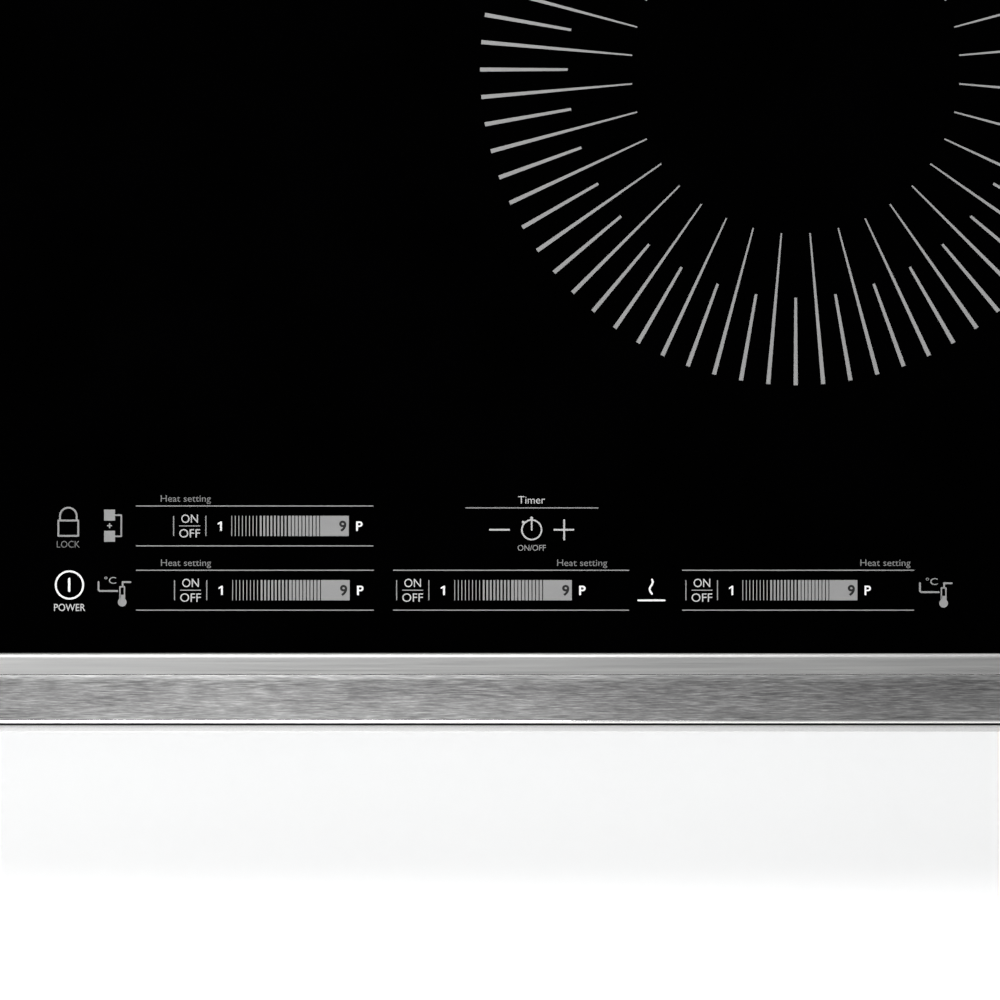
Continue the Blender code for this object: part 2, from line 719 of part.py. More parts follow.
def scroll_outline(inset, outlet_y):
    """The fan housing seen from above: a spiral that opens into the outlet."""
    steps = 14
    spiral = []
    for i in range(steps + 1):
        turn = math.radians(90 + 270 * i / steps)
        radius = SCROLL_START + (SCROLL_END - SCROLL_START) * i / steps - inset
        spiral.append((radius * math.cos(turn), radius * math.sin(turn)))
    tongue_x = OUTLET_INNER_X + inset
    outlet = [(SCROLL_END - inset, outlet_y), (tongue_x, outlet_y), (tongue_x, SCROLL_START)]
    return spiral + outlet


def blade_gaps():
    """The spaces between forward-curved blades, as one set of cutters."""
    bm = bmesh.new()
    pitch = 2 * math.pi / BLADES
    gap = pitch * (1 - BLADE_SHARE)
    radii = (BLADE_INNER - 2 * MM, (BLADE_INNER + ROTOR_RADIUS) / 2, ROTOR_RADIUS + 2 * MM)
    leans = (0, BLADE_LEAN * 0.3, BLADE_LEAN)
    low, high = ROTOR_Z[0] + 2.2 * MM, ROTOR_Z[1] - 2.4 * MM
    for i in range(BLADES):
        one_side = [(r, i * pitch + lean) for r, lean in zip(radii, leans)]
        other_side = [(r, turn + gap) for r, turn in reversed(one_side)]
        outline = [(r * math.cos(t), r * math.sin(t)) for r, t in one_side + other_side]
        add_prism(bm, outline, high - low, Matrix.Translation((0, 0, low)))
    return bm


def fans():
    low, high = FAN_Z
    for side, (x, y) in FAN_CENTRES.items():
        fan = pivot(f"fan_{side}", (x, y, 0))
        bm = bmesh.new()
        add_prism(bm, scroll_outline(0, OUTLET_Y), high - low, Matrix.Translation((0, 0, low)))
        housing = node(f"fan_housing_{side}", bm, "black_plastic", parent=fan)
        inside = bmesh.new()
        hollow = high - low - 2 * FAN_WALL
        lift = Matrix.Translation((0, 0, low + FAN_WALL))
        add_prism(inside, scroll_outline(FAN_WALL, OUTLET_Y + 5 * MM), hollow, lift)
        boolean(housing, inside)
        inlet = bmesh.new()
        add_cylinder(inlet, (0, 0), INLET_RADIUS, (low - 2 * MM, low + FAN_WALL + 1 * MM), 32)
        boolean(housing, inlet)

        bottom, top = ROTOR_Z
        bore, hub = SHAFT_RADIUS + GAP, 10 * MM
        web = top - 2.2 * MM
        profile = [
            (bore, bottom + 12 * MM),
            (hub, bottom + 12 * MM),
            (hub, web),
            (BLADE_INNER, web),
            (BLADE_INNER, bottom),
            (ROTOR_RADIUS, bottom),
            (ROTOR_RADIUS, top),
            (bore, top),
        ]
        bm = bmesh.new()
        add_turned(bm, profile, BLADES * 2)
        rotor = node(f"fan_rotor_{side}", bm, "grey_plastic", parent=fan)
        boolean(rotor, blade_gaps())

        profile = [
            (0, bottom + 2 * MM),
            (SHAFT_RADIUS, bottom + 2 * MM),
            (SHAFT_RADIUS, top + 1 * MM),
            (MOTOR_RADIUS, top + 1 * MM),
            (MOTOR_RADIUS, high - FAN_WALL - GAP),
            (0, high - FAN_WALL - GAP),
        ]
        bm = bmesh.new()
        add_turned(bm, profile, 20)
        node(f"fan_motor_{side}", bm, "zinc", parent=fan, smooth=True)


# The clamps.


def clamps():
    for side, sign in (("left", -1), ("right", 1)):
        wall = BOX_HALF[0] + GAP
        sheet, arm = CLAMP_SHEET, CLAMP_ARM_Z
        outline = [
            (sign * wall, arm),
            (sign * CLAMP_REACH, arm),
            (sign * CLAMP_REACH, arm + sheet),
            (sign * (wall + sheet), arm + sheet),
            (sign * (wall + sheet), arm + CLAMP_RISE),
            (sign * wall, arm + CLAMP_RISE),
        ]
        bm = bmesh.new()
        add_prism(bm, outline, CLAMP_WIDTH, along_y(-CLAMP_WIDTH / 2))
        bracket = node(f"clamp_bracket_{side}", bm, "galvanised")
        hole = bmesh.new()
        add_cylinder(hole, (sign * CLAMP_X, 0), SCREW_HOLE, (arm - 2 * MM, arm + 4 * MM))
        boolean(bracket, hole)

        axis = pivot(f"clamp_{side}", (sign * CLAMP_X, 0, 0))
        low, high = SCREW_Z
        edge = 1 * MM
        profile = [
            (0, low),
            (KNOB_RADIUS - edge, low),
            (KNOB_RADIUS, low + edge),
            (KNOB_RADIUS, KNOB_TOP - edge),
            (KNOB_RADIUS - edge, KNOB_TOP),
            (SCREW_RADIUS, KNOB_TOP),
            (SCREW_RADIUS, high),
            (0, high),
        ]
        bm = bmesh.new()
        add_turned(bm, profile, SMALL_ROUND)
        node(f"clamp_screw_{side}", bm, "zinc", parent=axis, smooth=True)
        foot, top = PAD_Z
        socket = SCREW_RADIUS + GAP
        profile = [
            (0, high + GAP),
            (socket, high + GAP),
            (socket, foot),
            (6 * MM, foot),
            (PAD_RADIUS, top - 4 * MM),
            (PAD_RADIUS, top - 0.6 * MM),
            (PAD_RADIUS - 0.6 * MM, top),
            (0, top),
        ]
        bm = bmesh.new()
        add_turned(bm, profile, SMALL_ROUND)
        node(f"clamp_pad_{side}", bm, "black_plastic", parent=axis, smooth=True)


# Wiring that stays inside the box.


def cable(name, points, radius, finish_name):
    """A round cable along a smooth curve through hand-placed points."""
    points = [Vector(p) for p in points]
    ends = [2 * points[0] - points[1], *points, 2 * points[-1] - points[-2]]
    line = []
    for a, b, c, d in zip(ends, ends[1:], ends[2:], ends[3:]):
        for i in range(4):
            t = i / 4
            line.append(
                0.5 * (2 * b + (c - a) * t + (2 * a - 5 * b + 4 * c - d) * t**2 + (3 * b - a - 3 * c + d) * t**3)
            )
    line.append(points[-1])
    curve = bpy.data.curves.new(name, "CURVE")
    curve.dimensions = "3D"
    curve.bevel_depth = radius
    curve.bevel_resolution = 2
    curve.use_fill_caps = True
    spline = curve.splines.new("POLY")
    spline.points.add(len(line) - 1)
    for point, place in zip(spline.points, line):
        point.co = (*place, 1)
    curve.materials.append(finish(finish_name))
    obj = bpy.data.objects.new(name, curve)
    bpy.context.scene.collection.objects.link(obj)


def wiring():
    rim_z = WINDING_Z + WINDING_THICK / 2
    board_z = ON_BOARD + 2.5 * MM
    landings = {
        "left_front": (-160 * MM, -20 * MM),
        "left_rear": (-172 * MM, 88 * MM),
        "centre_rear": (-124 * MM, 62 * MM),
        "right": (128 * MM, -58 * MM),
    }
    for name, (x, y) in landings.items():
        (start_x, start_y), (hole_x, hole_y) = lead_start(name)
        route = [
            (start_x + (hole_x - start_x) * 0.08, start_y + (hole_y - start_y) * 0.08, rim_z),
            (start_x + (hole_x - start_x) * 0.7, start_y + (hole_y - start_y) * 0.7, rim_z - 1 * MM),
            (hole_x, hole_y, SHELF_LOW - 2 * MM),
            ((hole_x + x) / 2, (hole_y + y) / 2, 50 * MM),
            (x, y, 24 * MM),
            (x, y, board_z),
        ]
        cable(f"coil_lead_{name}", route, 2.2 * MM, "silicone")
    x, y = TERMINAL_CENTRE
    supply = [
        (x - TERMINAL_SIZE[0] / 2 - 1 * MM, y, 13 * MM),
        (x - 60 * MM, y + 2 * MM, 12 * MM),
        (x - 100 * MM, y - 4 * MM, 12 * MM),
        (FILTER_X[1] + 14 * MM, FILTER_Y[1] - 8 * MM, 15 * MM),
        (FILTER_X[1] - 14 * MM, FILTER_Y[1] - 14 * MM, 14 * MM),
    ]
    cable("supply_lead", supply, 3.5 * MM, "cable")
    ribbon_cable()


def ribbon_cable():
    """The flat cable from the touch panel down to the left power board, bent like a chute."""
    half_thick = 0.5 * MM
    down = [(-157.4, 93), (-155.6, 92.6), (-154.8, 90), (-154.6, 84), (-153, 72)]
    across = [(-142, 50), (-118, 30), (-92, 19), (-68, 14), (-58, 12)]
    line = [Vector((y * MM, z * MM)) for y, z in down + across]
    sides = []
    for i, point in enumerate(line):
        run = line[min(i + 1, len(line) - 1)] - line[max(i - 1, 0)]
        sides.append(Vector((-run.y, run.x)).normalized() * half_thick)
    outline = [tuple(p + s) for p, s in zip(line, sides)]
    outline += [tuple(p - s) for p, s in reversed(list(zip(line, sides)))]
    bm = bmesh.new()
    add_prism(bm, outline, 20 * MM, along_x(-135 * MM))
    node("ribbon_cable", bm, "grey_plastic")


clear_scene()
glass_top()
trims()
ring_plate("worktop_seal", GASKET_HALF, GASKET_WIDTH, WORKTOP_Z, GLASS_LOW - 2 * GAP, "foam")
ring_plate("glass_frame", FRAME_HALF, FRAME_WIDTH, GLASS_LOW - GAP - FRAME_THICK, GLASS_LOW - GAP, "galvanised")
burner_box()
fan_grilles()
mains_entry()
coil_shelf()
shelf_rails()
coils()
touch_panel()
power_stages()
fans()
clamps()
wiring()
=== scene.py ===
# %% [markdown]
# # An induction cooktop, finished around its frame
#
# The frame that is loaded here is the working model: every part at its real size and place, but
# plain. This lesson gives it its looks. It goes from the outside in: the black glass and its
# print, the steel trims, the box, and then the coils, the electronics, the fans and the clamps.
# Each part is built where it belongs, in metres, and rides on the body of the frame that carries
# it.

# %% Load the frame and keep its box
import itertools
import json
import math

import bmesh
import bpy
from mathutils import Matrix, Vector


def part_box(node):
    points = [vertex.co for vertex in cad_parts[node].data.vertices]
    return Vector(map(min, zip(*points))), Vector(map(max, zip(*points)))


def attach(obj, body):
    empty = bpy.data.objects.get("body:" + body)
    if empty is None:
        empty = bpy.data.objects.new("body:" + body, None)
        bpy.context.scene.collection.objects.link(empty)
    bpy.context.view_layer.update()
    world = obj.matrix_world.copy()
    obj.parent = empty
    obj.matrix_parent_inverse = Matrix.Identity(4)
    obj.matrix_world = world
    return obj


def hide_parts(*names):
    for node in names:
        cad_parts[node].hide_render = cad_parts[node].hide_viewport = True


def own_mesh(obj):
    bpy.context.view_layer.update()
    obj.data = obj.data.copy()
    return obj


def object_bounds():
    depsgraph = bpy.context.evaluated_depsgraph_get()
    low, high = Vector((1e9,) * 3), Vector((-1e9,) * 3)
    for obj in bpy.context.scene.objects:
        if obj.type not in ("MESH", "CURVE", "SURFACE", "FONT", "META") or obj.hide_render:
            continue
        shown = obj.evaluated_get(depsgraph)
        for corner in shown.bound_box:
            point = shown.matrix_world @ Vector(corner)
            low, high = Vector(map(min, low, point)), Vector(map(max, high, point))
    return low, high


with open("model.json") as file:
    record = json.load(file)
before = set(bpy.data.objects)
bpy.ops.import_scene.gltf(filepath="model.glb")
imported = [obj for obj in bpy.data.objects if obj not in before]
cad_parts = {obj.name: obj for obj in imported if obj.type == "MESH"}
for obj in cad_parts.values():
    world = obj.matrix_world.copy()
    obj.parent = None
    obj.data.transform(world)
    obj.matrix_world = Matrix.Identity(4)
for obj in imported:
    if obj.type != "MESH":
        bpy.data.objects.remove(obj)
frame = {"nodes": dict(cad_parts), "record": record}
nodes = frame["nodes"]
cad_low, cad_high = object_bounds()
MM = 0.001
print("box in mm:", [round(v / MM, 1) for v in (*cad_low, *cad_high)])

# %% [markdown]
# ## A small set of modelling tools
#
# Almost every part of a cooktop is sheet, bar, wire or a turned part. So a few helpers carry the
# whole lesson: a box, a rod, a turned profile, an extruded outline and a wire along a path. They
# could each be a separate object with modifiers, but parts that belong together are easier to
# follow when they grow in one bmesh, so each helper adds to the bmesh that it is given. `piece`
# then closes the work: it points the faces outwards, gives the mesh its material and makes it ride
# on a body.


# %% Make a piece from a bmesh
def piece(name, bm, material, body="cooktop", sharp=32):
    """Turns a bmesh into a finished piece with one material, or a list of them."""
    bmesh.ops.remove_doubles(bm, verts=bm.verts, dist=0.002 * MM)
    bmesh.ops.recalc_face_normals(bm, faces=bm.faces)
    mesh = bpy.data.meshes.new(name)
    bm.to_mesh(mesh)
    bm.free()
    mesh.shade_smooth()
    mesh.set_sharp_from_angle(angle=math.radians(sharp))
    finishes = material if isinstance(material, list) else [material]
    for each in finishes:
        mesh.materials.append(each)
    obj = bpy.data.objects.new(name, mesh)
    bpy.context.scene.collection.objects.link(obj)
    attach(obj, body)
    print(f"{name}: {len(mesh.polygons)} faces, on {body}")
    return obj


# %% Boxes and rods
def box(bm, low, high, soft=0.0, steps=2, place=None):
    """A box between two corners, with its edges rounded by soft."""
    low, high = Vector(low), Vector(high)
    size = Matrix.Diagonal((*(high - low), 1))
    made = bmesh.ops.create_cube(bm, size=1, matrix=Matrix.Translation((low + high) / 2) @ size)["verts"]
    if soft:
        edges = list({edge for vert in made for edge in vert.link_edges})
        rounded = bmesh.ops.bevel(
            bm, geom=edges, offset=soft, segments=steps, profile=0.5, affect="EDGES", material=-1
        )
        made = list({vert for face in rounded["faces"] for vert in face.verts})
    if place:
        bmesh.ops.transform(bm, matrix=place, verts=made)
    return made


def rod(bm, start, end, radius, sides=16, tip=None):
    """A round bar from start to end; tip is its radius at the end, where it tapers."""
    start, end = Vector(start), Vector(end)
    turn = (end - start).to_track_quat("Z", "Y").to_matrix().to_4x4()
    place = Matrix.Translation((start + end) / 2) @ turn
    far = radius if tip is None else tip
    length = (end - start).length
    return bmesh.ops.create_cone(
        bm, cap_ends=True, segments=sides, radius1=radius, radius2=far, depth=length, matrix=place
    )["verts"]


# %% [markdown]
# A turned part is a profile spun about its axis, and a bar of any section is an outline that is
# extruded. `joined_to` finds the vertices that belong to one part, so that only they are moved.


# %% Turned parts
def turned(bm, profile, steps=48, place=None):
    """Spins an (r, z) profile about Z. One that starts on the axis ends on it; any other is a closed ring."""
    verts = [bm.verts.new((r, 0, z)) for r, z in profile]
    follow = verts[1:] if profile[0][0] == 0 else verts[1:] + verts[:1]
    edges = [bm.edges.new(pair) for pair in zip(verts, follow)]
    bmesh.ops.spin(
        bm,
        geom=verts + edges,
        cent=(0, 0, 0),
        axis=(0, 0, 1),
        angle=2 * math.pi,
        steps=steps,
        use_merge=True,
    )
    made = joined_to(verts[0])
    bmesh.ops.remove_doubles(bm, verts=made, dist=0.0005 * MM)
    made = joined_to(next(v for v in made if v.is_valid))
    if place:
        bmesh.ops.transform(bm, matrix=place, verts=made)
    return made


def joined_to(vert):
    """Every vertex that can be reached from one along edges."""
    seen = {vert}
    edge_of_search = [vert]
    while edge_of_search:
        found = {e.other_vert(v) for v in edge_of_search for e in v.link_edges} - seen
        seen |= found
        edge_of_search = list(found)
    return list(seen)


# %% Extruded outlines
def prism(bm, outline, height, place=None):
    """Extrudes a flat (u, v) outline by height along w, then puts it in place."""
    face = bm.faces.new([bm.verts.new((u, v, 0)) for u, v in outline])
    low = list(face.verts)
    grown = bmesh.ops.extrude_face_region(bm, geom=[face])["geom"]
    top = [item for item in grown if isinstance(item, bmesh.types.BMVert)]
    bmesh.ops.translate(bm, verts=top, vec=(0, 0, height))
    if place:
        bmesh.ops.transform(bm, matrix=place, verts=low + top)
    return low + top


def along_x(start):
    """For an outline drawn in (y, z): it is extruded along X from start."""
    return Matrix(((0, 0, 1, start), (1, 0, 0, 0), (0, 1, 0, 0), (0, 0, 0, 1)))


def along_y(start):
    """For an outline drawn in (x, z): it is extruded along Y from start."""
    return Matrix(((1, 0, 0, 0), (0, 0, 1, start), (0, 1, 0, 0), (0, 0, 0, 1)))


def arc(centre, radius, start, end, steps):
    """Points of an arc, with its angles in degrees; radius may be a pair for an ellipse."""
    across, up = radius if isinstance(radius, tuple) else (radius, radius)
    turns = [math.radians(start + (end - start) * i / steps) for i in range(steps + 1)]
    return [(centre[0] + across * math.cos(t), centre[1] + up * math.sin(t)) for t in turns]


# %% [markdown]
# Coils, springs and leads are wire. Blender's curves can be given a round bevel, which makes a
# clean tube along any path, so the wire is drawn as a curve and then added as a mesh.


# %% Wire along a path
def wire(bm, points, radius, sides=2, closed=False):
    """Adds a round wire through points. sides is the curve's bevel resolution."""
    curve = bpy.data.curves.new("wire", "CURVE")
    curve.dimensions = "3D"
    curve.bevel_depth = radius
    curve.bevel_resolution = sides
    curve.use_fill_caps = not closed
    line = curve.splines.new("POLY")
    line.points.add(len(points) - 1)
    for point, place in zip(line.points, points):
        point.co = (*place, 1)
    line.use_cyclic_u = closed
    add_object(bm, curve)


def add_object(bm, data, place=None):
    """Adds what a curve or a text makes to a bmesh, and removes it again."""
    obj = bpy.data.objects.new("shape", data)
    bpy.context.scene.collection.objects.link(obj)
    bpy.context.view_layer.update()
    mesh = bpy.data.meshes.new_from_object(obj.evaluated_get(bpy.context.evaluated_depsgraph_get()))
    if place:
        mesh.transform(place)
    bm.from_mesh(mesh)
    bpy.data.objects.remove(obj)
    bpy.data.meshes.remove(mesh)


def smooth_path(points, steps=8):
    """A curve that passes through given points."""
    points = [Vector(p) for p in points]
    ends = [2 * points[0] - points[1], *points, 2 * points[-1] - points[-2]]
    line = []
    for a, b, c, d in zip(ends, ends[1:], ends[2:], ends[3:]):
        for i in range(steps):
            t = i / steps
            bend = (2 * a - 5 * b + 4 * c - d) * t * t + (3 * b - a - 3 * c + d) * t**3
            line.append(0.5 * (2 * b + (c - a) * t + bend))
    line.append(points[-1])
    return line


# %% [markdown]
# ## Finishes
#
# A finish on a real part is never one flat colour: sheet has its grain, plastic its spark texture,
# copper its lacquer. An image could hold all that, but it would have one size and its own seams.
# So every finish here is built from Blender's noise, read in metres from Object coordinates, and
# the grain keeps its true size on every part. `finish` starts a material, and `grain` adds one
# layer of noise that may be stretched along an axis.


# %% Start a material
def finish(name, roughness, metallic=0.0, **sockets):
    """A Principled material; sockets are values that are the same all over it."""
    material = bpy.data.materials.new(name)
    material.use_nodes = True
    shader = material.node_tree.nodes["Principled BSDF"]
    shader.inputs["Roughness"].default_value = roughness
    shader.inputs["Metallic"].default_value = metallic
    for socket, value in sockets.items():
        shader.inputs[socket.replace("_", " ")].default_value = value
    return material


def add(material, kind, **values):
    """Adds a node and sets its properties."""
    made = material.node_tree.nodes.new(kind)
    for name, value in values.items():
        setattr(made, name, value)
    return made


def link(material, source, target):
    material.node_tree.links.new(source, target)


def place_on(material, stretch=(1, 1, 1)):
    """Object coordinates, scaled along each axis."""
    where = add(material, "ShaderNodeTexCoord")
    mapping = add(material, "ShaderNodeMapping")
    mapping.inputs["Scale"].default_value = stretch
    link(material, where.outputs["Object"], mapping.inputs["Vector"])
    return mapping.outputs["Vector"]


# %% Patterns
def grain(material, size, stretch=(1, 1, 1), detail=3.0, rough=0.55):
    """Noise whose features are about size metres across."""
    noise = add(material, "ShaderNodeTexNoise")
    noise.inputs["Scale"].default_value = 1 / size
    noise.inputs["Detail"].default_value = detail
    noise.inputs["Roughness"].default_value = rough
    link(material, place_on(material, stretch), noise.inputs["Vector"])
    return noise.outputs["Fac"]


def cells(material, size, feature="F1", stretch=(1, 1, 1)):
    """Cells of about size metres, each with its own value."""
    voronoi = add(material, "ShaderNodeTexVoronoi", feature=feature)
    voronoi.inputs["Scale"].default_value = 1 / size
    link(material, place_on(material, stretch), voronoi.inputs["Vector"])
    return voronoi


# %% Layers of a finish
def ramp(material, source, *stops):
    """Turns a value into a colour: each stop is (position, (r, g, b)), or (position, grey)."""
    ramp_node = add(material, "ShaderNodeValToRGB")
    points = ramp_node.color_ramp.elements
    while len(points) < len(stops):
        points.new(0.5)
    for point, (position, colour) in zip(points, stops):
        point.position = position
        point.color = (*colour, 1) if isinstance(colour, tuple) else (colour, colour, colour, 1)
    link(material, source, ramp_node.inputs["Fac"])
    return ramp_node.outputs["Color"]


def blend_in(material, first, second, share, mode="MIX"):
    """Mixes two colours; share is a number or a value from another node."""
    mixer = add(material, "ShaderNodeMix", data_type="RGBA", blend_type=mode)
    if isinstance(share, float):
        mixer.inputs["Factor"].default_value = share
    else:
        link(material, share, mixer.inputs["Factor"])
    link(material, first, mixer.inputs[6])
    link(material, second, mixer.inputs[7])
    return mixer.outputs[2]


def two_layers(material, fine, fine_stops, broad, broad_stops, share=0.5):
    """Colours the material by a fine pattern and a broad one; share is how much the broad counts."""
    first = ramp(material, fine, *fine_stops)
    second = ramp(material, broad, *broad_stops)
    wear(material, "Base Color", blend_in(material, first, second, share))


def spread(material, source, low, high, start=0.3, end=0.7):
    """Maps a value from the range start to end onto the range low to high."""
    mapped = add(material, "ShaderNodeMapRange")
    for name, value in (("From Min", start), ("From Max", end), ("To Min", low), ("To Max", high)):
        mapped.inputs[name].default_value = value
    link(material, source, mapped.inputs["Value"])
    return mapped.outputs["Result"]


def relief(material, source, depth):
    """Bump from a value, with its depth in metres."""
    bump = add(material, "ShaderNodeBump")
    bump.inputs["Strength"].default_value = 1.0
    bump.inputs["Distance"].default_value = depth
    link(material, source, bump.inputs["Height"])
    wear(material, "Normal", bump.outputs["Normal"])


def wear(material, socket, source):
    """Plugs a layer into the shader."""
    link(material, source, material.node_tree.nodes["Principled BSDF"].inputs[socket])


# %% [markdown]
# ### Glass and print
#
# Glass-ceramic is polished and looks black because it is tinted right through. Its face is very
# slightly wavy from rolling, and a used plate has a faint bloom, so the roughness moves a little.
# The print is ceramic enamel, fired on through a screen: matt, a hair thick, and a little uneven
# where the mesh of the screen let less through.


# %% Black glass
def black_glass():
    made = finish("black glass", 0.03, IOR=1.52, Specular_IOR_Level=0.45)
    bloom = grain(made, 60 * MM, detail=4)
    wear(made, "Base Color", ramp(made, bloom, (0.3, 0.0002), (0.8, (0.0005, 0.0005, 0.0006))))
    wear(made, "Roughness", spread(made, bloom, 0.02, 0.055))
    relief(made, grain(made, 25 * MM, detail=1), 0.0015 * MM)
    return made


# %% Enamel
def enamel(name, bright):
    """Fired print; bright is how much light it sends back."""
    made = finish(name, 0.55)
    screen = grain(made, 0.35 * MM, detail=2)
    cloud = grain(made, 14 * MM, detail=2)
    low, high = bright * 0.92, min(0.96, bright * 1.06)
    two_layers(made, screen, ((0.35, low), (0.65, high)), cloud, ((0.3, low), (0.7, high)))
    relief(made, screen, 0.01 * MM)
    return made


glass = black_glass()
enamel_white = enamel("white enamel", 0.93)
enamel_bright = enamel("bright enamel", 0.54)
enamel_silver = enamel("silver enamel", 0.31)
enamel_grey = enamel("grey enamel", 0.15)
enamel_dim = enamel("dim enamel", 0.21)
enamel_black = enamel("black enamel", 0.004)
print("one glass and six enamels")

# %% [markdown]
# ### Metals
#
# The trim is stainless steel, brushed with a belt along its length. Each stroke leaves a short,
# fine scratch, and the scratches lie in bands where the belt was pressed harder. One noise
# stretched along X would give endless lines, so two are laid over each other: a fine one for
# single strokes and a broad one for the bands. The flat strip and the rolled edges are only
# polished, so they keep hardly any grain.


# %% Brushed and satin steel
def brushed_steel():
    made = finish("brushed steel", 0.36, 1.0)
    strokes = grain(made, 0.42 * MM, (0.05, 1, 1), detail=3, rough=0.7)
    bands = grain(made, 15 * MM, (0.3, 1.4, 1), detail=2, rough=0.5)
    scratch = (0.32, 0.20), (0.5, 0.46), (0.68, (0.90, 0.90, 0.89))
    two_layers(made, strokes, scratch, bands, ((0.30, 0.34), (0.70, 0.62)))
    wear(made, "Roughness", spread(made, strokes, 0.30, 0.46))
    relief(made, strokes, 0.012 * MM)
    return made


def satin_steel():
    made = finish("satin steel", 0.52, 1.0)
    lines = grain(made, 0.8 * MM, (0.01, 1, 1), detail=2)
    wear(made, "Base Color", ramp(made, lines, (0.3, 0.62), (0.7, (0.70, 0.70, 0.69))))
    wear(made, "Roughness", spread(made, lines, 0.48, 0.56))
    relief(made, lines, 0.002 * MM)
    return made


# %% Polished and blasted steel
def polished_steel():
    made = finish("polished steel", 0.16, 1.0)
    lines = grain(made, 0.5 * MM, (0.02, 1, 1), detail=2)
    wear(made, "Base Color", ramp(made, lines, (0.3, 0.80), (0.7, (0.90, 0.90, 0.89))))
    wear(made, "Roughness", spread(made, lines, 0.13, 0.22))
    return made


def blasted_steel():
    """The foot of the trim: bead-blasted, so it scatters light almost like paper."""
    made = finish("blasted steel", 0.6, 0.45)
    beads = grain(made, 0.3 * MM, detail=2)
    wear(made, "Base Color", ramp(made, beads, (0.3, 0.76), (0.7, 0.90)))
    relief(made, beads, 0.01 * MM)
    return made


# %% [markdown]
# The box is hot-dip galvanised: the zinc froze in crystals, called spangle, and each one reflects
# a little differently. Voronoi cells are just that pattern. The shelf and the heat sinks are plain
# aluminium with die lines.


# %% Zinc and aluminium sheet
def galvanised_steel():
    made = finish("galvanised steel", 0.42, 1.0)
    spangle = cells(made, 9 * MM)
    smear = grain(made, 30 * MM, (0.4, 1, 1), detail=4)
    crystal = (0.1, (0.40, 0.42, 0.43)), (0.9, (0.60, 0.62, 0.62))
    cloud = (0.3, (0.42, 0.43, 0.44)), (0.7, (0.58, 0.59, 0.60))
    two_layers(made, spangle.outputs["Color"], crystal, smear, cloud, 0.45)
    wear(made, "Roughness", spread(made, spangle.outputs["Color"], 0.34, 0.52, 0, 1))
    relief(made, grain(made, 1.2 * MM, detail=2), 0.01 * MM)
    return made


def drawn_aluminium():
    made = finish("drawn aluminium", 0.38, 1.0)
    lines = grain(made, 0.5 * MM, (1, 0.02, 1), detail=3)
    cloud = grain(made, 25 * MM, detail=3)
    die_line = (0.3, (0.62, 0.63, 0.64)), (0.7, (0.80, 0.81, 0.82))
    oxide = (0.3, (0.66, 0.67, 0.68)), (0.7, (0.80, 0.80, 0.81))
    two_layers(made, lines, die_line, cloud, oxide)
    wear(made, "Roughness", spread(made, lines, 0.30, 0.48))
    relief(made, lines, 0.008 * MM)
    return made


# %% [markdown]
# Screws and small brackets are zinc-plated and passivated, which leaves a faint film that shifts
# from blue to yellow. The coils are litz: strands of lacquered copper, each a little different,
# and darker where they ran hot.


# %% Zinc plate and copper
def zinc_plate():
    made = finish("zinc plate", 0.3, 1.0)
    passivation = grain(made, 9 * MM, detail=3)
    blue, yellow, green = (0.62, 0.63, 0.66), (0.70, 0.69, 0.64), (0.60, 0.62, 0.60)
    wear(made, "Base Color", ramp(made, passivation, (0.25, blue), (0.5, yellow), (0.75, green)))
    wear(made, "Roughness", spread(made, grain(made, 0.6 * MM, detail=3), 0.22, 0.42))
    relief(made, grain(made, 0.4 * MM, detail=2), 0.006 * MM)
    return made


def lacquered_copper():
    made = finish("lacquered copper", 0.34, 1.0)
    strands = grain(made, 0.5 * MM, detail=2, rough=0.7)
    heat = grain(made, 22 * MM, detail=3)
    strand = (0.32, (0.40, 0.15, 0.06)), (0.68, (0.86, 0.44, 0.24))
    tarnish = (0.3, (0.52, 0.22, 0.10)), (0.7, (0.78, 0.38, 0.20))
    two_layers(made, strands, strand, heat, tarnish, 0.4)
    wear(made, "Roughness", spread(made, strands, 0.26, 0.46))
    relief(made, strands, 0.05 * MM)
    return made


# %% [markdown]
# ### Plastics, rubber and boards
#
# Moulds are spark-eroded, so moulded plastic has a fine even grain that hardly shows until light
# rakes over it. Circuit boards are the exception to noise: solder mask over copper tracks is a
# pattern of straight runs. A brick pattern laid at two sizes gives runs and pads without drawing a
# circuit.


# %% Moulded plastic and foam
def moulded(name, colour, roughness, pore=0.35 * MM, depth=0.02 * MM):
    """Spark-textured plastic or rubber of one colour, with a faint flow pattern in it."""
    made = finish(name, roughness)
    flow = grain(made, 18 * MM, detail=3)
    dark = tuple(c * 0.82 for c in colour)
    light = tuple(min(1.0, c * 1.15 + 0.003) for c in colour)
    wear(made, "Base Color", ramp(made, flow, (0.3, dark), (0.7, light)))
    texture = grain(made, pore, detail=2)
    wear(made, "Roughness", spread(made, texture, roughness - 0.07, roughness + 0.07))
    relief(made, texture, depth)
    return made


def foam_rubber():
    made = finish("foam rubber", 0.95)
    pores = cells(made, 0.7 * MM)
    wear(made, "Base Color", ramp(made, pores.outputs["Distance"], (0.1, 0.008), (0.7, 0.045)))
    relief(made, pores.outputs["Distance"], 0.15 * MM)
    return made


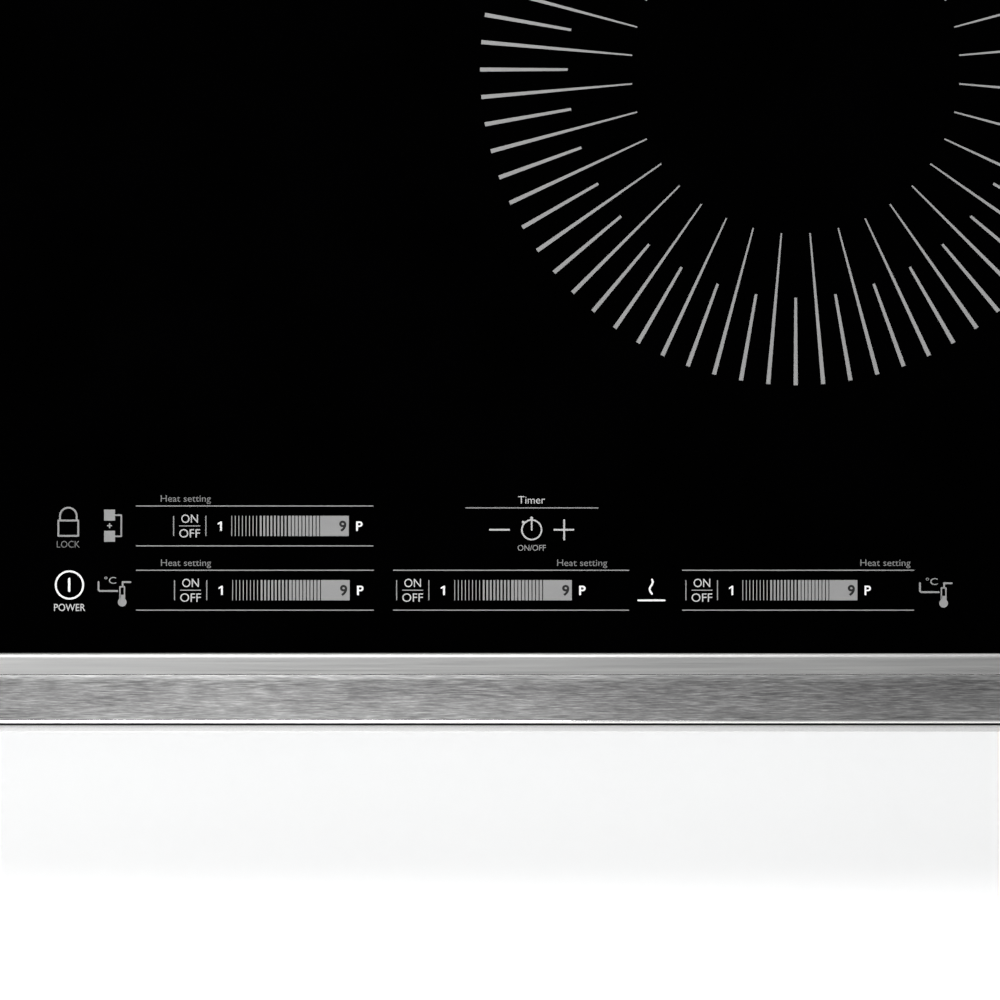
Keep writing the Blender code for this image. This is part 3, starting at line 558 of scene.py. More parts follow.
# %% Mica, board and ferrite
def pressed_mica():
    made = finish("pressed mica", 0.45, Coat_Weight=0.15)
    flakes = cells(made, 5 * MM)
    layer = grain(made, 2 * MM, detail=4)
    flake = (0.1, (0.50, 0.42, 0.29)), (0.9, (0.72, 0.66, 0.52))
    cloud = (0.3, (0.48, 0.40, 0.28)), (0.7, (0.74, 0.68, 0.55))
    two_layers(made, flakes.outputs["Color"], flake, layer, cloud)
    wear(made, "Roughness", spread(made, flakes.outputs["Distance"], 0.35, 0.6, 0, 1))
    relief(made, flakes.outputs["Distance"], 0.05 * MM)
    return made


def circuit_board():
    made = finish("circuit board", 0.38, Coat_Weight=0.2)
    tracks = add(made, "ShaderNodeTexBrick", offset=0.37, squash=0.6)
    tracks.inputs["Scale"].default_value = 1 / (9 * MM)
    tracks.inputs["Mortar Size"].default_value = 0.06
    tracks.inputs["Mortar Smooth"].default_value = 0.1
    tracks.inputs["Color1"].default_value = (0.012, 0.105, 0.045, 1)
    tracks.inputs["Color2"].default_value = (0.016, 0.125, 0.052, 1)
    tracks.inputs["Mortar"].default_value = (0.035, 0.24, 0.10, 1)
    link(made, place_on(made), tracks.inputs["Vector"])
    mask = grain(made, 3 * MM, detail=3)
    cloud = ramp(made, mask, (0.3, (0.010, 0.095, 0.040)), (0.7, (0.022, 0.150, 0.065)))
    wear(made, "Base Color", blend_in(made, tracks.outputs["Color"], cloud, 0.3))
    wear(made, "Roughness", spread(made, mask, 0.30, 0.48))
    relief(made, tracks.outputs["Fac"], 0.03 * MM)
    return made


# %% Make the finishes
steel_brushed, steel_satin, steel_polished = brushed_steel(), satin_steel(), polished_steel()
steel_blasted = blasted_steel()
zinc_sheet, aluminium, zinc = galvanised_steel(), drawn_aluminium(), zinc_plate()
copper = lacquered_copper()
foam, mica, board_green = foam_rubber(), pressed_mica(), circuit_board()
black_plastic = moulded("black plastic", (0.020, 0.020, 0.022), 0.52)
grey_plastic = moulded("grey plastic", (0.42, 0.43, 0.44), 0.50)
red_silicone = moulded("red silicone", (0.45, 0.06, 0.035), 0.55, 0.2 * MM, 0.01 * MM)
yellow_film = moulded("yellow film", (0.68, 0.46, 0.05), 0.32, 1.5 * MM, 0.03 * MM)
cable_sheath = moulded("cable sheath", (0.030, 0.030, 0.031), 0.50)
ferrite = moulded("ferrite", (0.055, 0.052, 0.055), 0.62, 0.25 * MM, 0.03 * MM)
blue_lacquer = moulded("blue lacquer", (0.02, 0.06, 0.25), 0.30)
white_nylon = moulded("white nylon", (0.75, 0.74, 0.70), 0.45)
print(len(bpy.data.materials), "materials")

# %% [markdown]
# The record of the frame names its finishes by slots.

# %% [markdown]
# Some parts of the frame already have their final shape. They keep it, and only take on their
# finish here. The record says which finish each one has, so one table from its slots to the
# materials above covers them all.

# %% Finish the parts that stay as they are
FINISH_OF_SLOT = {
    "black_glass": glass,
    "brushed_steel": steel_satin,
    "foam": foam,
    "galvanised": zinc_sheet,
    "aluminium": aluminium,
    "black_plastic": black_plastic,
    "copper": copper,
    "mica": mica,
    "silicone": red_silicone,
    "circuit_board": board_green,
    "zinc": zinc,
    "grey_plastic": grey_plastic,
    "yellow_film": yellow_film,
    "cable": cable_sheath,
}
for part in frame["record"]["subparts"]:
    mesh = nodes[part["node"]].data
    mesh.materials.clear()
    mesh.materials.append(FINISH_OF_SLOT[part["material_slot"]])
print(len(nodes), "parts of the frame have their finish")

# %% [markdown]
# ## The glass plate
#
# The plate is one flat sheet, 4 mm thick, with its corners rounded and its long edges ground to a
# soft pencil edge. A cube with a Bevel modifier would do, but the corners need a wide radius and
# the edges a narrow one, so the upright edges are bevelled first and the flat outlines after them.


# %% Glass plate
def flat_rims(bm, low_z, high_z):
    """The edges that lie in the lower or the upper face of a plate."""
    levels = (low_z, high_z)
    return [
        e
        for e in bm.edges
        if abs(e.verts[0].co.z - e.verts[1].co.z) < 1e-6
        and min(abs(e.verts[0].co.z - level) for level in levels) < 1e-6
    ]


def plate(bm, low, high, corner, edge, corner_steps=8, edge_steps=4):
    """A plate with rounded corners and a soft edge all round."""
    box(bm, low, high)
    upright = [e for e in bm.edges if abs(e.verts[0].co.z - e.verts[1].co.z) > 1e-6]
    bmesh.ops.bevel(
        bm, geom=upright, offset=corner, segments=corner_steps, profile=0.5, affect="EDGES", material=-1
    )
    rims = flat_rims(bm, low[2], high[2])
    bmesh.ops.bevel(bm, geom=rims, offset=edge, segments=edge_steps, profile=0.5, affect="EDGES", material=-1)


glass_low, glass_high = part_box("glass_top")
bm = bmesh.new()
plate(bm, glass_low, glass_high, 3 * MM, 1.1 * MM)
glass_plate = piece("glass_plate", bm, glass, sharp=60)
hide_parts("glass_top")
print("glass:", [round(v / MM, 1) for v in (glass_high - glass_low)], "mm")

# %% [markdown]
# ## The print
#
# Everything that is printed on the glass is a thin closed solid that stands 0.04 mm proud of it,
# as fired enamel does. A painted texture would be easier to draw, but it would blur when someone
# looks closely, and solids keep their edge at any size. The marks need just four tools: a bar, a
# ring, a line along a path and a word.
#
# Where two strokes of a mark cross, the second lies a hair higher than the first, as a second pass
# through the screen would, so no two faces share one plane.
#
# The panel is laid out in millimetres from its own corner: across from the middle of the glass,
# and up from the front edge of the trim.

# %% Tools for printing
PRINT_LOW = glass_high.z - 0.02 * MM
PRINT_HIGH = glass_high.z + 0.04 * MM
PANEL_FRONT = cad_low.y
STROKE = 0.8
PASS_STEP = 0.004 * MM
passes = itertools.count()


def next_top():
    """The height of the next stroke: nine levels, one after the other."""
    return PRINT_HIGH + (next(passes) % 9) * PASS_STEP


def on_glass(across, up, z=PRINT_LOW):
    """A place on the glass, from millimetres across and up the panel."""
    return Vector((across * MM, PANEL_FRONT + up * MM, z))


def bar(bm, across, up, width, height):
    """A printed bar; across and up are its middle."""
    middle = on_glass(across, up)
    half = Vector((width * MM / 2, height * MM / 2, 0))
    box(bm, middle - half, middle + half + Vector((0, 0, next_top() - PRINT_LOW)))


def shape(bm, outline):
    """A printed shape from its outline, in millimetres on the panel."""
    points = [((across * MM), PANEL_FRONT + up * MM) for across, up in outline]
    prism(bm, points, next_top() - PRINT_LOW, Matrix.Translation((0, 0, PRINT_LOW)))


def line(bm, points, stroke=STROKE):
    """A printed line with round ends and joints, along points on the panel."""
    for start, end in zip(points, points[1:]):
        run = Vector(end) - Vector(start)
        side = Vector((-run.y, run.x)).normalized() * stroke / 2
        corners = [Vector(start) + side, Vector(start) - side, Vector(end) - side, Vector(end) + side]
        shape(bm, [tuple(c) for c in corners])
    for point in points:
        dot(bm, point, stroke / 2)


def dot(bm, centre, radius, sides=20):
    shape(bm, arc(centre, radius, 0, 360 * (1 - 1 / sides), sides - 1))


def ring(bm, centre, radius, stroke, start=0, sweep=360, steps=48):
    """A printed ring or an arc of one; radius is to the outside of the stroke."""
    inner = arc(centre, radius - stroke, start, start + sweep, steps)
    outer = arc(centre, radius, start, start + sweep, steps)
    for i in range(steps):
        shape(bm, [outer[i], outer[i + 1], inner[i + 1], inner[i]])


def word(bm, text, across, base, cap, width=None, bold=0.0, top=PRINT_HIGH):
    """A printed word: across is its middle, base its baseline and cap the height of a capital."""
    letters = bpy.data.curves.new("word", "FONT")
    letters.body = text
    letters.align_x = "CENTER"
    letters.offset = bold
    letters.extrude = 0.5
    letters.resolution_u = 4
    made = bmesh.new()
    add_object(made, letters)
    lows = [min(v.co[i] for v in made.verts) for i in range(3)]
    highs = [max(v.co[i] for v in made.verts) for i in range(3)]
    tall = cap * MM / CAPITAL
    wide = tall if width is None else width * MM / (highs[0] - lows[0])
    thick = top - PRINT_LOW
    middle = on_glass(across, base, PRINT_LOW + thick / 2)
    shift = Matrix.Translation((-(lows[0] + highs[0]) / 2, 0, 0))
    scale = Matrix.Diagonal((wide, tall, thick, 1))
    bmesh.ops.transform(made, matrix=Matrix.Translation(middle) @ scale @ shift, verts=made.verts)
    bmesh.ops.remove_doubles(made, verts=made.verts, dist=0.002 * MM)
    merge(bm, made)


def merge(bm, other):
    """Adds one bmesh to another."""
    mesh = bpy.data.meshes.new("merged")
    other.to_mesh(mesh)
    other.free()
    bm.from_mesh(mesh)
    bpy.data.meshes.remove(mesh)


def capital_height():
    """How tall a capital of the built-in font is at size 1."""
    letters = bpy.data.curves.new("measure", "FONT")
    letters.body = "H"
    made = bmesh.new()
    add_object(made, letters)
    tall = max(v.co.y for v in made.verts) - min(v.co.y for v in made.verts)
    made.free()
    return tall


CAPITAL = capital_height()
print("a capital is", round(CAPITAL, 3), "of the font's size")

# %% [markdown]
# ### Zone rings
#
# Each zone is marked by rays: 72 of them round the largest, every second one starting further out.
# Each ray narrows towards the middle. A loop places them by angle, and the smaller zones use fewer
# rays, so that the rays stay as far apart as on the large one.


# %% Zone rings
RAY_END = 1.85
RAY_NARROWING = 0.018
SHORT_START = 0.7225
LONG_START = 0.52
ZONES = {"right": (140, 72), "left_front": (88, 48), "left_rear": (88, 48), "centre_rear": (76, 40)}


def zone_middle(zone):
    low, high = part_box(f"coil_winding_{zone}")
    return (low + high) / 2


def ray(bm, centre, outer, inner, turn, taper):
    """One ray from inner to outer, in millimetres from the middle of its zone."""
    narrow = max(0.4, RAY_END - taper * (outer - inner))
    place = Matrix.Translation((centre.x, centre.y, PRINT_LOW)) @ Matrix.Rotation(turn, 4, "Z")
    half_in, half_out = narrow * MM / 2, RAY_END * MM / 2
    outline = [(inner * MM, -half_in), (outer * MM, -half_out), (outer * MM, half_out), (inner * MM, half_in)]
    prism(bm, outline, PRINT_HIGH - PRINT_LOW, place)


for zone, (radius, count) in ZONES.items():
    centre = zone_middle(zone)
    bm = bmesh.new()
    taper = RAY_NARROWING * 140 / radius
    for i in range(count):
        start = SHORT_START if i % 2 == 0 else LONG_START
        ray(bm, centre, radius, radius * start, -math.pi / 2 + i * 2 * math.pi / count, taper)
    piece(f"zone_ring_{zone}", bm, enamel_silver)
    print(zone, "ring:", count, "rays,", 2 * radius, "mm across")

# %% [markdown]
# ### Slide keys
#
# A finger slides along a bar that gets denser from left to right, from 1 to 9. It is printed as 25
# strokes at one pitch, thin, then wider, then nearly touching, and a solid end. The same key is
# needed four times, so it is one function, and only its place, the length of its frame lines and
# the side of its label change.


# %% Sizes of the slide key
KEY_HALF = 8.85
FINE_STROKE = 0.45
STRIP_PITCH = 1.575
STRIP_GROUPS = ((8, 0.36), (8, 0.84), (9, 1.16))
STRIP_LENGTH = 52.1
STRIP_START = 25.6
STRIP_HALF = 4.5


def figure_one(bm, across, base, cap):
    """The figure 1 with its flag, which the built-in font leaves out."""
    outline = [(0.05, 0), (0.25, 0), (0.25, 1), (0.09, 1), (-0.2, 0.82), (-0.2, 0.64), (0.05, 0.77)]
    shape(bm, [(across + x * cap, base + y * cap) for x, y in outline])


# %% Slide key
def slide_key(name, left, middle, first, length, label, reach=1.0):
    """left and length are of the frame lines, first is the first upright, and label is the middle
    of the label. reach is how far the key is drawn out to the right."""
    lines = bmesh.new()
    for side in (-1, 1):
        bar(lines, left + length / 2, middle + side * KEY_HALF, length, FINE_STROKE)
    for across in (first, first + 14.3 * reach):
        bar(lines, across, middle, FINE_STROKE, 8.9)
    bar(lines, first + 7.1, middle, 9.3, 0.42)
    across = first + STRIP_START * reach
    for count, width in STRIP_GROUPS:
        for _ in range(count):
            bar(lines, across + width / 2, middle, width, 2 * STRIP_HALF)
            across += STRIP_PITCH * reach
    strip_end = first + (STRIP_START + STRIP_LENGTH) * reach
    bar(lines, (across + strip_end) / 2, middle, strip_end - across, 2 * STRIP_HALF)
    piece(f"slide_key_{name}", lines, enamel_silver)

    words = bmesh.new()
    word(words, "ON", first + 7.1, middle + 1.4, 3.65, 7.4, 0.002)
    word(words, "OFF", first + 7.1, middle - 5.1, 3.65, 9.2, 0.002)
    piece(f"slide_key_words_{name}", words, enamel_bright)

    figures = bmesh.new()
    figure_one(figures, first + 20.4 * reach, middle - 2.15, 4.1)
    word(figures, "P", first + 82.4 * reach, middle - 2.1, 4.0, 2.9, 0.02)
    piece(f"slide_key_figures_{name}", figures, enamel_white)

    nine = bmesh.new()
    word(nine, "9", strip_end - 2.7, middle - 2.2, 4.3, 3.2, 0.03, PRINT_HIGH + 0.06 * MM)
    piece(f"slide_key_nine_{name}", nine, enamel_black)

    caption = bmesh.new()
    word(caption, "Heat setting", label, middle + KEY_HALF + 1.9, 2.9, 22.2, -0.002)
    piece(f"slide_key_label_{name}", caption, enamel_dim)


# %% Print the four slide keys
UPPER_ROW = 91.8
LOWER_ROW = 63.3
slide_key("rear_left", -117.1, UPPER_ROW, -100.4, 105.3, -95.0)
slide_key("front_left", -117.1, LOWER_ROW, -100.0, 105.5, -94.9)
slide_key("centre", -3.1, LOWER_ROW, -1.5, 104.7, 80.8)
slide_key("right", 125.1, LOWER_ROW, 126.8, 102.9, 215.3, 0.979)

# %% [markdown]
# ### Symbols
#
# The other keys are small pictures: a lock, a power key, a stopwatch between minus and plus, a
# keep-warm key, a pot with a thermometer and a key that joins two zones. Each is only bars, arcs
# and dots with one pen, so they are drawn with the tools above and not as curves from a drawing
# program.


# %% Lock
def lock_key(across, middle):
    bm = bmesh.new()
    base, body_top = middle - 6.2, middle + 0.6
    half = 4.4
    corners = [(-half, base), (half, base), (half, body_top), (-half, body_top), (-half, base)]
    line(bm, [(across + x, y) for x, y in corners])
    shackle = 3.7
    spring = body_top + 2.0
    ring(bm, (across, spring), shackle + STROKE / 2, STROKE, 0, 180, 24)
    for side in (-1, 1):
        line(bm, [(across + side * shackle, body_top), (across + side * shackle, spring)])
    piece("lock_key", bm, enamel_silver)
    name = bmesh.new()
    word(name, "LOCK", across, middle - 11.4, 2.95, 10.2, -0.002)
    piece("lock_key_word", name, enamel_grey)


lock_key(-147.1, UPPER_ROW + 1.8)


# %% Power
def power_key(across, middle):
    bm = bmesh.new()
    ring(bm, (across, middle), 6.5, 0.85, steps=64)
    line(bm, [(across - 0.1, middle - 2.6), (across - 0.1, middle + 2.7)], 1.0)
    piece("power_key", bm, enamel_white)
    name = bmesh.new()
    word(name, "POWER", across + 0.1, middle - 11.5, 3.1, 13.9, 0.006)
    piece("power_key_word", name, enamel_bright)


power_key(-146.6, LOWER_ROW + 2.3)


# %% Joined zones and pot with thermometer
def join_key(across, middle):
    """Two zones joined by a bracket, with a plus between them."""
    bm = bmesh.new()
    for side in (-1, 1):
        bar(bm, across, middle + side * 4.7, 4.85, 4.9)
    near, reach = across + 2.4, across + 5.2
    corners = [(near, middle + 4.7), (reach, middle + 4.7), (reach, middle - 4.7), (near, middle - 4.7)]
    line(bm, corners, 0.7)
    bar(bm, across, middle, 2.2, 0.55)
    bar(bm, across, middle, 0.55, 2.2)
    piece("join_key", bm, enamel_silver)


def pot_key(name, across, middle):
    """A pan in outline with a thermometer in it; across is the thermometer's middle."""
    bm = bmesh.new()
    wall, rim, floor = across - 10.5, middle + 3.6, middle - 0.35
    line(bm, [(wall, rim), (wall, floor + 0.5), (wall + 0.5, floor), (across - 2.2, floor)])
    line(bm, [(across + 0.2, middle + 2.1), (across + 0.2, rim), (across + 3.6, rim)])
    stem, stem_top, bulb = 1.0, middle + 1.5, middle - 5.3
    for side in (-1, 1):
        line(bm, [(across + side * stem, stem_top), (across + side * stem, bulb)], 0.6)
    line(bm, [(across - stem, stem_top), (across + stem, stem_top)], 0.6)
    bar(bm, across, middle - 3.3, 2.0, 2.6)
    dot(bm, (across, bulb), 1.95)
    word(bm, "°C", across - 5.3, middle + 2.9, 2.9, 5.3, 0.004)
    piece(f"pot_key_{name}", bm, enamel_silver)


join_key(-128.8, UPPER_ROW + 0.1)
pot_key("left", -123.2, LOWER_ROW)
pot_key("right", 241.1, LOWER_ROW - 0.5)


# %% Timer and keep-warm
def timer_key(across, middle):
    bm = bmesh.new()
    ring(bm, (across, middle), 4.7, 0.7, steps=48)
    line(bm, [(across, middle - 0.1), (across, middle + 4.4)], 0.65)
    dot(bm, (across, middle + 5.2), 0.62)
    dot(bm, (across - 3.8, middle + 3.4), 0.55)
    piece("timer_key", bm, enamel_bright)
    signs = bmesh.new()
    reach = 14.3
    for side in (-1, 1):
        bar(signs, across + side * reach, middle, 9.1, 0.78)
    bar(signs, across + reach + 0.1, middle, 0.78, 9.3)
    word(signs, "Timer", across, middle + 11.6, 3.3, 11.9, -0.002)
    piece("timer_signs", signs, enamel_bright)
    rest = bmesh.new()
    bar(rest, across + 0.1, middle + 9.7, 58.9, FINE_STROKE)
    word(rest, "ON/OFF", across, middle - 9.25, 2.5, 12.4, 0.0)
    piece("timer_line", rest, enamel_silver)


def warm_key(across, middle):
    bm = bmesh.new()
    line(bm, [(across - 5.7, middle - 4.5), (across + 5.9, middle - 4.5)], 0.85)
    steps = [i / 14 for i in range(15)]
    line(bm, [(across + 0.7 * math.sin(2 * math.pi * t + 0.5), middle + 4.7 - 6.3 * t) for t in steps], 0.85)
    piece("warm_key", bm, enamel_white)


timer_key(58.4, 90.1)
warm_key(111.4, LOWER_ROW)

# %% [markdown]
# ## Steel trims
#
# The front trim is a strip of stainless steel that runs the width of the top: a flat land over the
# edge of the glass, a long slope towards the cook, a rolled nose and a small foot on the worktop.
# It is the same section from end to end, so its outline is drawn once, with real arcs at the land
# and the nose, and extruded. The slope is brushed, the land is satin and the rolled edges are
# polished, so each face takes its finish from the stretch of outline that it came from.


# %% Outline of the front trim
trim_low, trim_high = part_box("front_trim")
OVER_GLASS = glass_high.z + 0.3 * MM
UNDER_GLASS = glass_low.z - 0.3 * MM
LAND_START = trim_high.y - 2.4 * MM
CREASE = trim_high.y - 9.3 * MM
CREASE_WIDTH = 0.5 * MM
CREASE_DEPTH = 0.28 * MM
SLOPE_DROP = 5.0 * MM
SLOPE_START = ((0.5, 0.12), (1.3, 0.40), (2.2, 0.69), (3.2, 0.97))
NOSE_RADIUS = 2.4 * MM
NOSE_FRONT = trim_low.y + 3.9 * MM
GROOVE = 0.9 * MM
FOOT_TOP = trim_low.z + 1.2 * MM
FOOT_DEPTH = 11 * MM


def front_trim_outline():
    """The section as (y, z), and for each point the finish of the stretch that starts there."""
    top = trim_high.z
    steps = []
    shoulder = arc((LAND_START, OVER_GLASS), (2.4 * MM, top - OVER_GLASS), 0, 90, 9)
    steps += [(p, "polished" if i < 5 else "satin") for i, p in enumerate(shoulder[:-1])]
    steps += [((LAND_START, top), "satin")]
    steps += [((CREASE, top), "polished")]
    steps += [((CREASE - CREASE_WIDTH / 2, top - CREASE_DEPTH), "polished")]
    for back, down in SLOPE_START:
        steps += [((CREASE - back * MM, top - down * MM), "brushed")]
    nose_middle = (NOSE_FRONT + NOSE_RADIUS, top - SLOPE_DROP - NOSE_RADIUS)
    steps += [(p, "polished") for p in arc(nose_middle, NOSE_RADIUS, 104, 180, 9)]
    # The groove between the nose and the foot is painted shade: its walls and floor take the black 'dark'
    # finish, which stands in for the shadow in that crevice.
    groove_floor = FOOT_TOP - GROOVE
    steps[-1] = (steps[-1][0], "dark")
    steps += [((NOSE_FRONT, groove_floor), "dark")]
    steps += [((NOSE_FRONT - GROOVE, groove_floor), "dark")]
    steps += [((NOSE_FRONT - GROOVE, FOOT_TOP), "blasted")]
    edge = 0.4 * MM
    steps += [(p, "blasted") for p in arc((trim_low.y + edge, FOOT_TOP - edge), edge, 90, 180, 4)]
    steps += [((trim_low.y, trim_low.z), "satin")]
    steps += [((trim_low.y + FOOT_DEPTH, trim_low.z), "satin")]
    steps += [((trim_low.y + FOOT_DEPTH, UNDER_GLASS), "satin")]
    steps += [((glass_low.y - 0.3 * MM, UNDER_GLASS), "satin")]
    steps += [((glass_low.y - 0.3 * MM, OVER_GLASS), "satin")]
    return steps


# %% Extrude it with its finishes
# The last finish, dark, is painted shade: black on the groove's faces in place of the shadow there.
FINISH_ORDER = ["brushed", "satin", "polished", "blasted", "dark"]


def long_strip(name, steps, replaced):
    """A strip along X whose sides each take the finish of their stretch of outline."""
    bm = bmesh.new()
    outline = [point for point, _ in steps]
    prism(bm, outline, trim_high.x - trim_low.x, along_x(trim_low.x))
    for face in bm.faces:
        if abs(face.normal.x) > 0.5:
            face.material_index = FINISH_ORDER.index("satin")
            continue
        middle = face.calc_center_median()
        stretches = list(zip(steps, steps[1:] + steps[:1]))
        gaps = [
            (Vector(((a[0][0] + b[0][0]) / 2, (a[0][1] + b[0][1]) / 2)) - Vector((middle.y, middle.z))).length
            for a, b in stretches
        ]
        face.material_index = FINISH_ORDER.index(stretches[gaps.index(min(gaps))][0][1])
    rims = [e for e in bm.edges if e.calc_length() < 0.05 and min(f.normal.x**2 for f in e.link_faces) < 0.1]
    ends = [e for e in rims if max(abs(f.normal.x) for f in e.link_faces) > 0.9]
    bmesh.ops.bevel(bm, geom=ends, offset=0.15 * MM, segments=2, profile=0.5, affect="EDGES", material=-1)
    # black_plastic here is painted shade on the groove's faces, not the steel's own colour.
    finishes = [steel_brushed, steel_satin, steel_polished, steel_blasted, black_plastic]
    made = piece(name, bm, finishes, sharp=24)
    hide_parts(replaced)
    return made


long_strip("front_trim_strip", front_trim_outline(), "front_trim")
print("front trim:", round((trim_high.y - trim_low.y) / MM, 1), "mm deep")


# %% [markdown]
# The rear trim is a plain cap over the rear edge of the glass, with one rolled edge. It is the
# same kind of strip, so the same function extrudes it from an outline of its own.


# %% Rear trim
def rear_trim_outline():
    low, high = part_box("rear_trim")
    edge = 1.5 * MM
    gasket_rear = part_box("worktop_seal")[1].y + 1 * MM
    glass_rear = glass_high.y + 0.3 * MM
    steps = [((low.y, OVER_GLASS), "polished")]
    steps += [(p, "polished") for p in arc((low.y + 0.8 * MM, high.z - 0.8 * MM), 0.8 * MM, 180, 90, 4)[:-1]]
    steps += [((low.y + 0.8 * MM, high.z), "satin")]
    steps += [(p, "polished") for p in arc((high.y - edge, high.z - edge), edge, 90, 0, 6)]
    steps += [((high.y, low.z), "satin")]
    steps += [((gasket_rear, low.z), "satin")]
    steps += [((gasket_rear, UNDER_GLASS), "satin")]
    steps += [((glass_rear, UNDER_GLASS), "satin")]
    steps += [((glass_rear, OVER_GLASS), "satin")]
    return steps


long_strip("rear_trim_strip", rear_trim_outline(), "rear_trim")

# %% [markdown]
# ## The box from outside
#
# The box keeps the shape that it has in the frame: its vents, inlets and pressed feet are already
# cut there. What a press and an assembly line add is made here: beads that stiffen the walls and
# the floor, collars round the vents and the inlets, and the hexagon screws with their washers. A
# screw is used over a hundred times, so it has few faces.


# %% Hexagon screw
def facing(point, direction):
    """A place at point whose Z points along direction."""
    turn = Vector(direction).to_track_quat("Z", "Y").to_matrix().to_4x4()
    return Matrix.Translation(Vector(point)) @ turn


def hex_screw(bm, point, direction, width=7 * MM, height=3.0 * MM):
    """A hexagon screw head on its washer; point is where the washer touches the sheet."""
    place = facing(point, direction)
    washer = 0.9 * MM
    flange = width * 0.68
    disc = [(0, 0), (flange, 0), (flange, washer * 0.5), (flange * 0.92, washer), (0, washer)]
    turned(bm, disc, 16, place)
    corner = width / math.sqrt(3)
    outline = arc((0, 0), corner, 0, 300, 5)
    low = washer * 0.8
    lower = prism(bm, outline, height - low, place @ Matrix.Translation((0, 0, low)))
    top = [e for e in {e for v in lower for e in v.link_edges} if edge_height(place, e) > height - 0.01 * MM]
    bmesh.ops.bevel(bm, geom=top, offset=0.5 * MM, segments=1, profile=0.5, affect="EDGES", material=-1)


def edge_height(place, edge):
    """How far along the Z of a place the lower end of an edge is."""
    back = place.inverted()
    return min((back @ vert.co).z for vert in edge.verts)


# %% [markdown]
# A bead is a long rib that a press rolls into sheet to stiffen it. It could be pressed out of the
# wall's own mesh, but the wall belongs to the frame, so each bead is a closed rib that stands on
# the wall and is sunk into it by half a millimetre: an outline with round ends, extruded, with its
# top edge rolled over by a bevel.

# %% Pressed bead
SUNK = 0.5 * MM
BEAD_HALF = 4.5 * MM


def bead(bm, place, length, depth):
    """A pressed bead: a long rib with round ends, lying along X, whose top edge is rolled over."""
    reach = length / 2 - BEAD_HALF
    outline = arc((reach, 0), BEAD_HALF, -90, 90, 10) + arc((-reach, 0), BEAD_HALF, 90, 270, 10)
    rib = prism(bm, outline, depth + SUNK, place @ Matrix.Translation((0, 0, -SUNK)))
    rim = [e for e in {e for v in rib for e in v.link_edges} if edge_height(place, e) > depth - 0.01 * MM]
    bmesh.ops.bevel(bm, geom=rim, offset=depth * 0.9, segments=4, profile=0.5, affect="EDGES", material=-1)


box_low, box_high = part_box("burner_box")
WALL_X, WALL_Y = 358 * MM, 244 * MM
FLOOR_Z = 2.5 * MM
BEAD_PROUD = 1.6 * MM
FAN_CENTRES = {"left": (-255 * MM, -150 * MM), "right": (195 * MM, -150 * MM)}
print("box:", [round(v / MM, 1) for v in (box_high - box_low)], "mm")

# %% Beads in the walls
bm = bmesh.new()
FRONT_BEADS = ((-310, 310, 30), (-310, 310, 72))
REAR_BEADS = ((-310, 262, 72), (-132, 84, 32), (-330, -292, 32))
SIDE_BEADS = ((-215, -40, 30), (40, 215, 30), (-215, 215, 84))
for sign, beads in ((-1, FRONT_BEADS), (1, REAR_BEADS)):
    for start, end, level in beads:
        middle = ((start + end) / 2 * MM, sign * WALL_Y, level * MM)
        bead(bm, facing(middle, (0, sign, 0)), (end - start) * MM, BEAD_PROUD)
for sign in (-1, 1):
    for start, end, level in SIDE_BEADS:
        middle = (sign * WALL_X, (start + end) / 2 * MM, level * MM)
        bead(bm, facing(middle, (sign, 0, 0)), (end - start) * MM, BEAD_PROUD)
for along, length in ((10, 470), (55, 470), (100, 300), (145, 300)):
    downward = Matrix.Translation((0, along * MM, FLOOR_Z)) @ Matrix.Rotation(math.pi, 4, "X")
    bead(bm, downward, length * MM, 1.2 * MM)
piece("box_beads", bm, zinc_sheet, sharp=50)

# %% [markdown]
# Holes that are cut by a press keep a small raised edge, which also stiffens them. Thin bars stand
# on both sides of each vent slot, and a turned lip runs round each fan inlet.

# %% Collars round the vents and the inlets
VENT_CENTRES = (-217, 160)
VENT_COUNT = 11
VENT_PITCH = 11 * MM
VENT_HALF = 17 * MM
VENT_LEVEL = 32 * MM
bm = bmesh.new()
for centre in VENT_CENTRES:
    for i in range(VENT_COUNT):
        across = centre * MM + (i - (VENT_COUNT - 1) / 2) * VENT_PITCH
        for side in (-1, 1):
            edge = across + side * 2.9 * MM
            low = (edge - 0.7 * MM, WALL_Y - 0.4 * MM, VENT_LEVEL - VENT_HALF)
            box(bm, low, (edge + 0.7 * MM, WALL_Y + 1.1 * MM, VENT_LEVEL + VENT_HALF), 0.5 * MM, 2)
lip = [(37.1, 1.5), (38.0, 1.2), (39.6, 1.3), (40.8, 2.2), (41.2, 2.8), (37.1, 2.8)]
for x, y in FAN_CENTRES.values():
    turned(bm, [(r * MM, z * MM) for r, z in lip], 64, Matrix.Translation((x, y, 0)))
piece("box_collars", bm, zinc_sheet, sharp=50)

# %% [markdown]
# The screws that show on the box hold what is inside it: the rails and the clamps on the side
# walls, the trays of the boards and the guards of the fans on the floor, and the glass frame along
# the top edge. Each group is a short list of places.

# %% Screws in the outside of the box
GUARD_SCREWS = 44 * MM
bm = bmesh.new()
for sign in (-1, 1):
    for along in (-110, 62, 185):
        hex_screw(bm, (sign * WALL_X, along * MM, 65 * MM), (sign, 0, 0))
    for along in (-10, 10):
        hex_screw(bm, (sign * (WALL_X + 1.9 * MM), along * MM, 52 * MM), (sign, 0, 0), 6 * MM, 2.6 * MM)
    for across, along in ((-100, -112), (100, -112), (-100, 112), (100, 112), (0, 112)):
        centre = (sign * 227 + across) * MM, (55 + along) * MM
        if abs(centre[0]) < 335 * MM:
            hex_screw(bm, (*centre, FLOOR_Z), (0, 0, -1), 6 * MM, 2.2 * MM)
for x, y in ((-60, 70), (60, 70), (-60, 200), (60, 200)):
    hex_screw(bm, (x * MM, y * MM, FLOOR_Z), (0, 0, -1), 6 * MM, 2.2 * MM)
